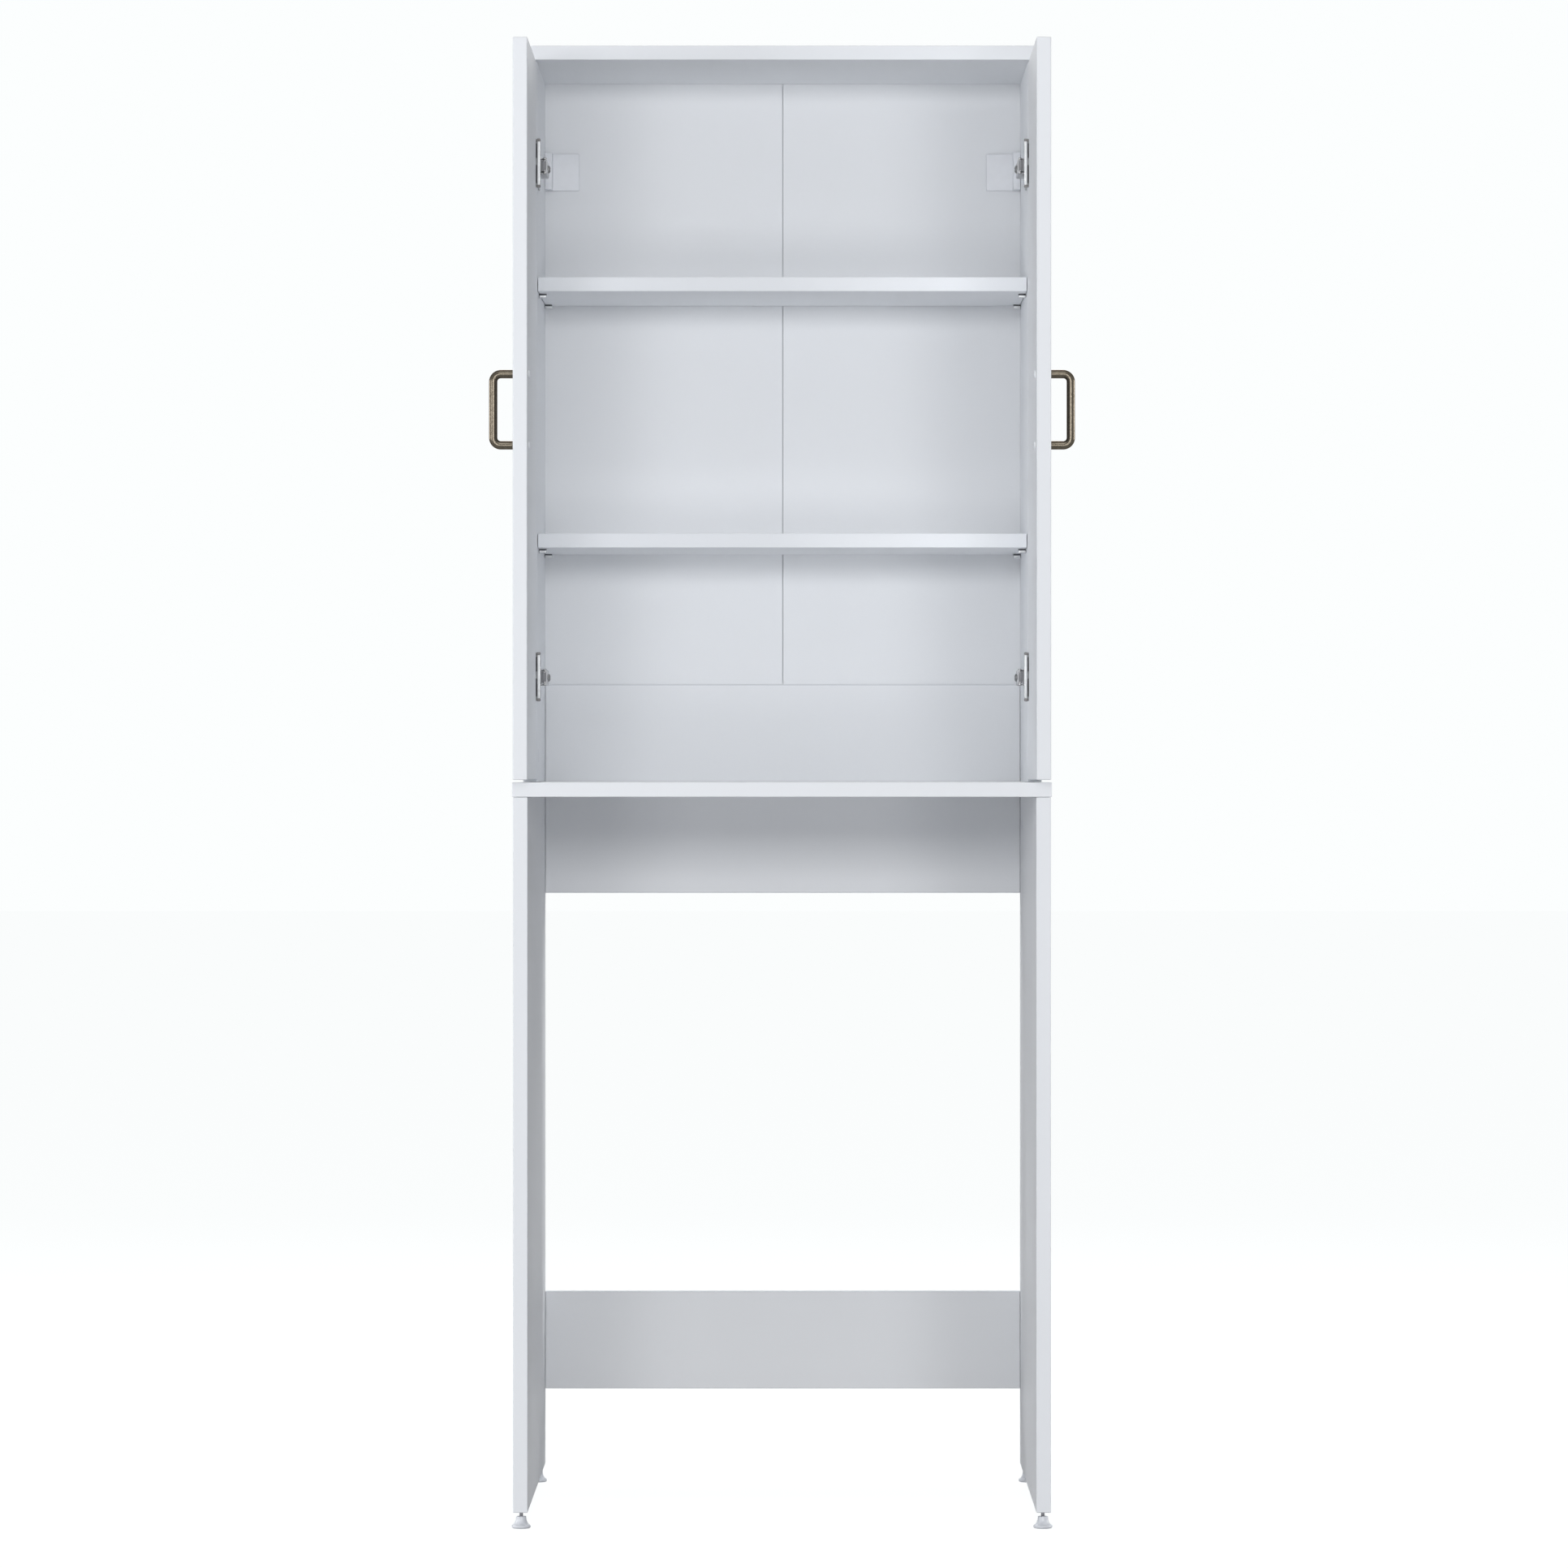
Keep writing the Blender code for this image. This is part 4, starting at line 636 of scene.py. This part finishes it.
# The levelling feet: a glossy white plastic glide, moulded as a bell on a threaded steel stud that
# screws up into the side panel, so that each corner of the cabinet is set level by turning it.
STUD, STUD_TOP, STUD_PITCH, STUD_THREAD = 0.005, 0.046, 0.0008, 0.0004
GLIDE_HEIGHT, GLIDE_TOP, GLIDE_BASE, GLIDE_RIM = 0.0148, 0.0124, 0.0236, 0.0024
GLIDE_HOLE, GLIDE_UNDERSIDE = 0.0062, 0.0003

foot_plastic = plastic("foot_plastic", (0.80, 0.83, 0.885, 1.0), gloss=(0.34, 0.42), grain=300.0,
                       bump=0.06)
stud_steel = metal("stud_steel", (0.46, 0.46, 0.48), (0.34, 0.34, 0.36), gloss=(0.34, 0.46))


def threaded(diameter, start, end, pitch, depth, count=24, finish=0, tip=0.0006):
    """A threaded rod about z. Its radius falls and rises by the depth once in each pitch, and the
    crest climbs one pitch in each turn; both ends taper."""
    turn = np.linspace(0, 2 * pi, count, endpoint=False)
    height = np.arange(start, end, pitch / 5)[:, None]
    wave = np.abs(((height / pitch - turn / (2 * pi)) % 1) - 0.5) * 2
    from_tip = np.clip(np.minimum(height - start, end - height) / tip, 0.15, 1)
    radius = (diameter / 2 - depth * wave) * (0.75 + 0.25 * from_tip)
    points = np.stack([radius * np.cos(turn), radius * np.sin(turn), height + 0 * turn], axis=-1)
    return sections(points, finish=finish)


# The glide's profile, from its top down: a hole for the stud, a flat top, a flare that widens with
# the distance run and with its fourth power, a half-round rim and a flat underside.
share = np.linspace(0, 1, 22)
rim_middle = GLIDE_BASE / 2 - GLIDE_RIM
flare_run = rim_middle + GLIDE_RIM / 6 - GLIDE_TOP / 2
flare_radius = GLIDE_TOP / 2 + flare_run * (0.3 * share + 0.7 * share ** 4)
flare_height = GLIDE_HEIGHT - (GLIDE_HEIGHT - 2 * GLIDE_RIM) * share
rim_turn = np.linspace(radians(75), radians(-90), 14)
glide_radius = np.concatenate([
    [POLE, GLIDE_HOLE / 2, GLIDE_HOLE / 2 + 0.0006, GLIDE_TOP / 2 - 0.0005, GLIDE_TOP / 2 - 0.0001],
    flare_radius[1:-1], rim_middle + GLIDE_RIM * np.cos(rim_turn), [rim_middle - 0.002, POLE]])
glide_height = np.concatenate([
    [GLIDE_HEIGHT - 0.0006, GLIDE_HEIGHT - 0.0006, GLIDE_HEIGHT, GLIDE_HEIGHT, GLIDE_HEIGHT - 0.0003],
    flare_height[1:-1], GLIDE_RIM * (1 + np.sin(rim_turn)), [GLIDE_UNDERSIDE, GLIDE_UNDERSIDE]])
glide = turned(glide_radius, glide_height, 72)
stud = threaded(STUD, GLIDE_HEIGHT - 0.0004, STUD_TOP, STUD_PITCH, STUD_THREAD, 32, finish=1)
for end in ("front", "rear"):
    for side in ("left", "right"):
        foot = f"foot_{end}_{side}"
        middle = middle_of(foot) * (1, 1, 0)
        make_piece(foot + "_glide", [placed(part, lambda p: p + middle) for part in (glide, stud)],
                   [foot_plastic, stud_steel], foot, (foot,))


# The wall fixing: a bent steel angle in each upper rear corner, screwed to the side, with a hole for
# the wall screw. A thin white plastic cover clips over it, deep along the side and flat on the back.
COVER_SIDE_REACH, COVER_SIDE_RISE = 0.028, 0.010
COVER_BACK_REACH, COVER_BACK_RISE = 0.045, 0.005
COVER_HEIGHT, COVER_ROUND, COVER_CORNER = 0.0485, 0.0009, 0.001

bracket_zinc = metal("bracket_zinc", (0.46, 0.47, 0.50), (0.34, 0.35, 0.38), gloss=(0.3, 0.45),
                     along=300.0)
cover_plastic = plastic("cover_plastic", PLASTIC, gloss=(0.36, 0.44), grain=1100.0, bump=0.15)

cover_outline = rounded([(CLEAR, CLEAR), (COVER_BACK_REACH, CLEAR), (COVER_BACK_REACH, COVER_BACK_RISE),
                         (COVER_SIDE_RISE, COVER_BACK_RISE), (COVER_SIDE_RISE, COVER_SIDE_REACH),
                         (CLEAR, COVER_SIDE_REACH)], COVER_CORNER)
cover = slab(cover_outline, -COVER_HEIGHT / 2, COVER_HEIGHT / 2, COVER_ROUND, 5)
for name, side in SIDES:
    solid = "bracket_cover_" + name
    rear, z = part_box(solid)[1][1], middle_of(solid)[2]
    make_piece("wall_cover_" + name, [placed(cover, lambda p: np.stack(
        [side * (X_INNER - p[:, 0]), rear + CLEAR - p[:, 1], z + p[:, 2]], 1))], [cover_plastic],
        "cabinet", (solid,))
    finish_node("wall_bracket_" + name, bracket_zinc)


# The doors: one laminated board each, banded on all four edges and hung on two hinges.
for door in ("door_left", "door_right"):
    finish_node(door, board_finish(door, sawn_rear=False))


# The handles: a 10 mm round bar bent to a bow, in brushed antique bronze. Two screws hold each from
# behind, through the door, with white caps over their pan heads on its inner face.
BAR, BAR_HALF, BAR_REACH, BAR_BEND, BAR_CHAMFER = 0.0103, 0.044, 0.0306, 0.0094, 0.0005
BOLT_CAP, BOLT_CAP_RISE = 0.0104, 0.0027

bronze = metal("bronze", (0.098, 0.085, 0.067), (0.076, 0.065, 0.050), gloss=(0.20, 0.30), along=60.0,
               across=3200.0, edge_tint=(0.30, 0.25, 0.20), bump=0.25)
screw_steel = metal("screw_steel", (0.52, 0.52, 0.54), (0.38, 0.38, 0.40), gloss=(0.24, 0.38))


def swept(path, tangent, radius, across, count=48):
    """A round bar along a path in a plane: a circle of the radius at each point of the path, square
    to the path's tangent. Its flow holds the circle's own x and y and the length run so far."""
    inward = np.cross(np.broadcast_to(across, tangent.shape), tangent)
    turn = np.linspace(0, 2 * pi, count, endpoint=False)[None, :, None]
    radius = np.broadcast_to(radius, len(path))[:, None, None]
    points = path[:, None] + radius * (np.cos(turn) * inward[:, None] + np.sin(turn) * across)
    steps = np.linalg.norm(np.diff(path, axis=0), axis=1)
    run = np.concatenate([[0], np.cumsum(steps)])[:, None, None] + 0 * turn
    flow = np.concatenate([radius * np.cos(turn), radius * np.sin(turn), run], axis=-1)
    return sections(points, flow)


def bow_path(half, reach, bend, straight=6, round_steps=14):
    """The bow's middle line, x out from the door and z up: leg, bend, bar, bend, leg."""
    turn = np.linspace(pi / 2, 0, round_steps)
    leg = np.linspace(0.0003, reach - bend, straight)[:-1]
    x = np.concatenate([leg, reach - bend + bend * np.cos(turn)])
    z = np.concatenate([np.full(straight - 1, half), half - bend + bend * np.sin(turn)])
    bar = np.linspace(half - bend, bend - half, 12)[1:-1]
    x, z = np.concatenate([x, np.full(10, reach), x[::-1]]), np.concatenate([z, bar, -z[::-1]])
    path = np.stack([x, 0 * x, z], axis=-1)
    tangent = np.gradient(path, axis=0)
    return path, tangent / np.linalg.norm(tangent, axis=1)[:, None]


path, tangent = bow_path(BAR_HALF, BAR_REACH - BAR / 2, BAR_BEND)
tangent[0], tangent[-1] = (1, 0, 0), (-1, 0, 0)
chamfer_run = np.array([0.0004, 0, 0])
path = np.concatenate([path[:1], path[:1] + chamfer_run, path[1:-1], path[-1:] + chamfer_run, path[-1:]])
tangent = np.concatenate([tangent[:1], tangent[:1], tangent[1:-1], tangent[-1:], tangent[-1:]])
radius = np.full(len(path), BAR / 2)
radius[[0, -1]] -= BAR_CHAMFER
bow = swept(path, tangent, radius, np.array([0.0, 1.0, 0.0]))


def driven_screw(head, head_height, shank, length, pitch, count=40, rings=12):
    """A pan-head screw whose head stands on z = 0 and whose thread runs down. The head is a dome
    that falls with the fourth power of the distance from its middle, with a driver's cross."""
    share = np.linspace(0.02, 1, rings)
    radius = np.concatenate([share * head / 2, [head / 2, shank / 2, shank / 2]])
    height = np.concatenate([head_height * (1 - 0.55 * share ** 4), [0, 0, -pitch]])
    points, quads, caps, flow, finish = turned(radius, height, count)
    domed = (rings - 1) * count
    dome = driven(points[:domed], head * 0.3, head * 0.16, head_height * 0.6)
    points = np.concatenate([dome, points[domed:]])
    thread = threaded(shank, -length, -pitch / 2, pitch, pitch * 0.3, 20)
    return [(points, quads, caps, points, finish), thread]


handle_bolt = driven_screw(head=0.008, head_height=0.0022, shank=0.004, length=0.0255, pitch=0.0007)
for name, side in SIDES:
    y, middle = middle_of("handle_" + name)[1:]
    make_piece("handle_bow_" + name, [placed(bow, lambda p: np.stack(
        [side * (X_OUTER + p[:, 0]), y + p[:, 1], middle + p[:, 2]], 1))], [bronze], name + "_door",
        ("handle_" + name,))
    for end, z in (("lower", middle - BAR_HALF), ("upper", middle + BAR_HALF)):
        make_piece(f"handle_bolt_{end}_{name}",
                   [placed(part, from_side(side, y, z, CLEAR)) for part in handle_bolt], [screw_steel],
                   name + "_door", (f"handle_screw_{end}_{name}",))
        bolt_cap = placed(cap_disc(BOLT_CAP, BOLT_CAP_RISE), from_side(side, y, z))
        make_piece(f"handle_bolt_cap_{end}_{name}", [bolt_cap], [cap_plastic], name + "_door")


# The hinges: pressed and nickel-plated steel. Each has a cup pressed into the door, an arm clamped on
# a mounting plate on the side panel, and two links that swing the door out as it opens. They are
# drawn in u inwards from the side panel's outer face, v forwards from its front edge and w upwards.
# The fourth finish is near-black plastic. It is used for strips that are a painted shadow in the gap under
# each cup's lip.
MAIN, SCREWS, END_CAPS, PAINTED_GAP_SHADOW = range(4)
PLATE_REAR, PLATE_FRONT, PLATE_HALF, PLATE_SCREWS = -0.047, -0.027, 0.028, 0.016
BLOCK_REAR, BLOCK_FRONT, BLOCK_HALF = -0.068, -0.016, 0.0065
PLATE_LOW, PLATE_TOP, BLOCK_LOW, BLOCK_TOP = 0.0183, 0.0203, 0.0185, 0.025
ARM_TOP, ARM_FOOT, ARM_HALF, ARM_STEEL = 0.0305, 0.0206, 0.0098, 0.0012
ARM_REAR, ARM_FRONT, ARM_ARRIS = -0.075, 0.0045, 0.00028
ARM_EDGE, ARM_FOLD, ARM_FOLD_INSIDE = 0.0003, 0.0017, 0.0006
CLAMP_SCREW, ADJUSTING_SCREW = -0.050, -0.022
OUTER_PIVOT, INNER_PIVOT = (0.028, 0.007), (0.022, -0.002)
RIVET, RIVET_SHANK, CUP_PIN = 0.0020, 0.00125, 0.0008
RIVET_HALF, RIVET_HEAD = 0.0105, 0.0009
OUTER_PIN, INNER_PIN = (0.0100, 0.01371), (0.01025, 0.01268)

hinge_bright = metal("hinge_bright", (0.55, 0.56, 0.57), (0.50, 0.51, 0.52), gloss=(0.46, 0.56),
                     along=200.0, across=700.0)
hinge_arm_steel = metal("hinge_arm_steel", (0.56, 0.56, 0.57), (0.48, 0.48, 0.49), gloss=(0.42, 0.54),
                        along=160.0, across=700.0)
hinge_link_steel = metal("hinge_link_steel", (0.30, 0.30, 0.31), (0.26, 0.26, 0.27), gloss=(0.4, 0.52),
                         along=300.0)
hinge_screw_steel = metal("hinge_screw_steel", (0.24, 0.24, 0.24), (0.17, 0.17, 0.17), gloss=(0.24, 0.36))
hinge_end_caps = plastic("hinge_end_caps", (0.24, 0.235, 0.235, 1.0), gloss=(0.35, 0.5), grain=700.0,
                         bump=0.2)


def along_u(part):
    """A part drawn in v and w, with its thickness along u, put into the order u, v, w."""
    return placed(part, lambda p: p[:, [2, 0, 1]])


def along_v(part):
    """A part drawn in w and u, with its length along v, put into the order u, v, w."""
    return placed(part, lambda p: p[:, [1, 2, 0]])


def moved(part, *step):
    """A part moved by a step along each axis."""
    return placed(part, lambda p: p + np.array(step))


def tinted(parts, finish):
    """The same parts with another finish of the piece's own list."""
    return [(*part[:4], finish) for part in parts]


def screwed(u, v, w, screw):
    """The parts of a screw whose head is pressed a little into the surface at a height u."""
    return tinted([placed(part, lambda p: np.stack([u - 0.0001 + p[:, 2], v + p[:, 0], w + p[:, 1]], 1))
                   for part in screw], SCREWS)


plate = rounded(rect(PLATE_REAR, PLATE_FRONT, -PLATE_HALF, PLATE_HALF), 0.004, 6)
block = rounded(rect(BLOCK_REAR, BLOCK_FRONT, -BLOCK_HALF, BLOCK_HALF), 0.0018)
plate_parts = [along_u(slab(plate, PLATE_LOW, PLATE_TOP, arris=0.0005)),
               along_u(slab(block, BLOCK_LOW, BLOCK_TOP, arris=0.0007))]
plate_screw = driven_screw(head=0.0085, head_height=0.0010, shank=0.0063, length=0.011, pitch=0.0018)
for w in (-PLATE_SCREWS, PLATE_SCREWS):
    plate_parts += screwed(PLATE_TOP, (PLATE_REAR + PLATE_FRONT) / 2, w, plate_screw)

# The arm is a channel folded from one sheet. Two cheeks at its nose carry the rivets, and each
# cheek's outline runs round both of them.
inside, ceiling = ARM_HALF - ARM_STEEL, ARM_TOP - ARM_STEEL
channel = rounded([(-ARM_HALF, ARM_FOOT), (-ARM_HALF, ARM_TOP), (ARM_HALF, ARM_TOP), (ARM_HALF, ARM_FOOT),
                   (inside, ARM_FOOT), (inside, ceiling), (-inside, ceiling), (-inside, ARM_FOOT)],
                  [ARM_EDGE, ARM_FOLD, ARM_FOLD, ARM_EDGE, ARM_EDGE, ARM_FOLD_INSIDE, ARM_FOLD_INSIDE,
                   ARM_EDGE])
arm_parts = [along_v(slab(channel, ARM_REAR, ARM_FRONT, ARM_ARRIS))]
cheek = rounded([(0.02065, -0.014), (ARM_FOOT, -0.0098), (0.0194, -0.00122), (0.02661, 0.0096),
                 (0.03055, 0.0096), (0.03055, -0.003), (0.029, -0.014)],
                [0.0003, 0.001, 0.0026, 0.0026, 0.0026, 0.001, 0.0005], 6)
for side in (-1, 1):
    low, high = sorted((side * (inside - 0.00005), side * (ARM_HALF + 0.00005)))
    arm_parts.append(slab(cheek, low, high, arris=0.0003))
rivet_radius = np.array([POLE, 0.7 * RIVET, RIVET - 0.00015, RIVET, RIVET, RIVET_SHANK])
rivet_height = RIVET_HALF - np.array([0, 0, 0.00015, 0.0004, RIVET_HEAD, RIVET_HEAD])
rivet = turned(np.concatenate([rivet_radius, rivet_radius[::-1]]),
               np.concatenate([-rivet_height, rivet_height[::-1]]), 24, SCREWS)
arm_parts += [moved(rivet, *pivot, 0) for pivot in (OUTER_PIVOT, INNER_PIVOT)]
arm_parts += screwed(ARM_TOP, CLAMP_SCREW, 0, driven_screw(
    head=0.010, head_height=0.0030, shank=0.005, length=0.0085, pitch=0.0009))
arm_parts += screwed(ARM_TOP, ADJUSTING_SCREW, 0, driven_screw(
    head=0.006, head_height=0.0013, shank=0.004, length=0.0048, pitch=0.0007))

# The outer link is rolled round its rivet. Its strip bows out by a half sine between the rivet and
# the cup's pin, and ends where the link's own plate begins.
LINK_BOW, LINK_SHARE, LINK_HALF = 0.004, 0.26, 0.0056
LINK_OUTSIDE, LINK_INSIDE, ROLL_RADIUS, UNDER_ROLL = 0.00085, 0.0001, 0.0021, 6
share = np.linspace(0.0, LINK_SHARE, 14)[:, None]
run = np.subtract(OUTER_PIN, OUTER_PIVOT)
bowed = np.array([run[1], -run[0]]) / np.linalg.norm(run) * LINK_BOW
strip_line = np.array(OUTER_PIVOT) + share * run + np.sin(pi * share) * bowed
ahead = np.gradient(strip_line, axis=0)
outward = np.stack([ahead[:, 1], -ahead[:, 0]], 1) / np.linalg.norm(ahead, axis=1)[:, None]
roll_end = np.arctan2(outward[0, 1], outward[0, 0])
roll = np.linspace(roll_end - pi, roll_end, 22)[:, None]
eye_round = np.array(OUTER_PIVOT) + ROLL_RADIUS * np.concatenate([np.cos(roll), np.sin(roll)], 1)
outer_line, inner_line = strip_line + LINK_OUTSIDE * outward, strip_line - LINK_INSIDE * outward
link_eye = slab(np.concatenate([eye_round, outer_line[UNDER_ROLL:], inner_line[:UNDER_ROLL:-1]]),
                -LINK_HALF, LINK_HALF, arris=0.0002)

# The cup is drawn with x up the door, y towards the door's free edge and z out of its inner face. Its
# outlines are distances from a point inside it, one for each of a round of directions: to the
# farthest of the flange, its two wings and the bowl, and to the wall of the hollow.
CUP_FORWARD, DOOR_FACE = 0.026, 0.018
CUP_EYE = np.array([0.0, 0.010])
BOWL_RADIUS, HOLLOW_RADIUS, BOWL_DEPTH, HOLLOW_DEPTH = 0.01745, 0.0167, 0.0125, 0.0117
FLANGE_LOW, FLANGE_TOP, FLANGE_SOFT = 0.0003, 0.0014, 0.0003
RIM_DROP, RIM_DROP_BELOW, RIM_DROP_FROM = 0.0024, 0.0017, -0.008
LIP_HALF, LIP_STRAIGHT, LIP_ROUND = 0.03125, 0.0276, 0.0012
LUG_INSIDE, LUG_OUTSIDE, LUG_EYE = 0.0043, 0.0054, 0.0016
CUP_SCREWS, CUP_SCREW_FORWARD = 0.025, 0.010
bearing = np.linspace(0, 2 * pi, 240, endpoint=False)
heading = np.stack([np.cos(bearing), np.sin(bearing)], axis=-1)


def in_cup(part):
    """A part drawn about the cup's axis put into the order u, v, w."""
    return placed(part, lambda p: np.stack([DOOR_FACE + p[:, 2], CUP_FORWARD + p[:, 1], p[:, 0]], 1))


def across_cup(outline, low, high, arris, finish):
    """A bar whose outline lies in the cup's y and z, carried along its x."""
    return in_cup(placed(slab(outline, low, high, arris, finish=finish), lambda p: p[:, [2, 0, 1]]))


def pin_at(place, start, end):
    """A plain pin along w, at a place in u and v."""
    return moved(turned([POLE, CUP_PIN, CUP_PIN, POLE], [start, start, end, end], 20, SCREWS), *place, 0)


def to_box(x, low, high):
    """How far it is to the sides of a box that reaches x to either side, from a low y to a high y."""
    with np.errstate(divide="ignore"):
        beside = x / np.abs(heading[:, 0])
        end = np.where(heading[:, 1] > 0, high - CUP_EYE[1], CUP_EYE[1] - low) / np.abs(heading[:, 1])
    return np.minimum(beside, end)


def to_circle(radius):
    """How far it is to a circle about the cup's axis."""
    run = heading @ CUP_EYE
    return -run + np.sqrt(run ** 2 + radius ** 2 - CUP_EYE @ CUP_EYE)


def cup_ring(reach, rise, drop=0.0):
    """One ring of the cup at a height over the door's face, dropped near the hinged edge."""
    ring = CUP_EYE + reach[:, None] * heading
    return np.column_stack([ring, rise - drop * (ring[:, 1] < RIM_DROP_FROM)])


bowl = to_circle(BOWL_RADIUS)
flange = np.maximum(np.maximum(to_box(0.019, -0.008, 0.0175), to_box(0.029, 0.004, 0.016)), bowl)
hollow = np.minimum(to_circle(HOLLOW_RADIUS), np.maximum(to_box(1, 0.00135, 1), to_box(0.0108, -1, 1)))
cup_parts = [in_cup(sections(np.array([
    cup_ring(bowl - 0.0008, -BOWL_DEPTH),
    cup_ring(bowl, 0.0008 - BOWL_DEPTH),
    cup_ring(bowl, FLANGE_LOW, RIM_DROP_BELOW),
    cup_ring(flange, FLANGE_LOW, RIM_DROP_BELOW),
    cup_ring(flange, FLANGE_TOP - FLANGE_SOFT, RIM_DROP),
    cup_ring(flange - FLANGE_SOFT, FLANGE_TOP, RIM_DROP),
    cup_ring(hollow + FLANGE_SOFT, FLANGE_TOP, RIM_DROP),
    cup_ring(hollow, FLANGE_TOP - 0.0004, RIM_DROP),
    cup_ring(hollow, 0.001 - HOLLOW_DEPTH),
    cup_ring(hollow - 0.001, -HOLLOW_DEPTH)])))]

# The cup's rolled lip, with a moulded cap at each end, and a near-black strip under it on either side of
# the links: a painted shadow for the gap that the lip leaves over the door.
lip = rounded(rect(0.0177, 0.0227, 0.0015, 0.0062), LIP_ROUND)
cup_parts += [across_cup(lip, -LIP_HALF, -LIP_STRAIGHT, LIP_ROUND - 0.0001, END_CAPS),
              across_cup(lip, -LIP_STRAIGHT, LIP_STRAIGHT, 0.0002, MAIN),
              across_cup(lip, LIP_STRAIGHT, LIP_HALF, LIP_ROUND - 0.0001, END_CAPS)]
# Painted shadow: near-black solids laid in the gap under the lip, where there is only shade.
gap = rounded(rect(0.0182, 0.0223, 0.0003, 0.00145), 0.0003)
cup_parts += [across_cup(gap, low, high, 0.0002, PAINTED_GAP_SHADOW)
              for low, high in ((-0.0249, -0.0024), (0.0069, 0.0250))]

# The lip's feet, the lugs that hold the inner pin, the cup's screws, the stubs of the outer pin, the
# stop in front of the hollow, and the inner pin.
pin_forward, pin_height = INNER_PIN[1] - CUP_FORWARD, INNER_PIN[0] - DOOR_FACE
cup_screw = driven_screw(head=0.007, head_height=0.0015, shank=0.0035, length=0.011, pitch=0.0012)
for side in (-1, 1):
    low, high = sorted((side * 0.0307, side * 0.0275))
    lip_foot = rounded(rect(low, high, 0.0183, 0.0221), 0.0005)
    cup_parts.append(in_cup(slab(lip_foot, 0.0003, 0.003, arris=0.0002, finish=END_CAPS)))
    low, high = sorted((side * LUG_INSIDE, side * LUG_OUTSIDE))
    lug = rounded(rect(low, high, pin_forward - LUG_EYE, pin_forward + LUG_EYE), 0.0004)
    cup_parts.append(in_cup(slab(lug, -HOLLOW_DEPTH, pin_height + LUG_EYE, arris=0.0003)))
    cup_parts += tinted([in_cup(moved(part, side * CUP_SCREWS, CUP_SCREW_FORWARD, FLANGE_TOP - 0.0001))
                         for part in cup_screw], SCREWS)
    cup_parts.append(pin_at(OUTER_PIN, side * 0.0057, side * 0.0112))
stop = rounded(rect(-0.0046, 0.0046, 0.0159, 0.0202), 0.0006)
cup_parts.append(in_cup(slab(stop, 0.0008, 0.0038, arris=0.0004)))
cup_parts.append(pin_at(INNER_PIN, -0.0049, 0.0049))


def in_hinge(side, z):
    """Puts a part drawn in u, v and w at a side of the cabinet and a height."""
    return lambda p: np.stack([side * (X_OUTER - p[:, 0]), Y_CUPBOARD - p[:, 1], z + p[:, 2]], 1)


for name, side in SIDES:
    for end in ("lower", "upper"):
        place = in_hinge(side, middle_of(f"hinge_plate_{end}_{name}")[2])
        for kind, parts, main, body in (("plate", plate_parts, hinge_bright, "cabinet"),
                                        ("arm", arm_parts, hinge_arm_steel, "cabinet"),
                                        ("cup", cup_parts, hinge_bright, name + "_door")):
            make_piece(f"hinge_{kind}_in_steel_{end}_{name}", [placed(part, place) for part in parts],
                       [main, hinge_screw_steel, hinge_end_caps, pad_and_gap_shadow], body,
                       (f"hinge_{kind}_{end}_{name}",), smooth_below=32)
        make_piece(f"hinge_link_eye_{end}_{name}", [placed(link_eye, place)], [hinge_link_steel],
                   name + "_outer_links")
        for kind in ("outer_link", "inner_link"):
            finish_node(f"hinge_{kind}_{end}_{name}", hinge_link_steel)
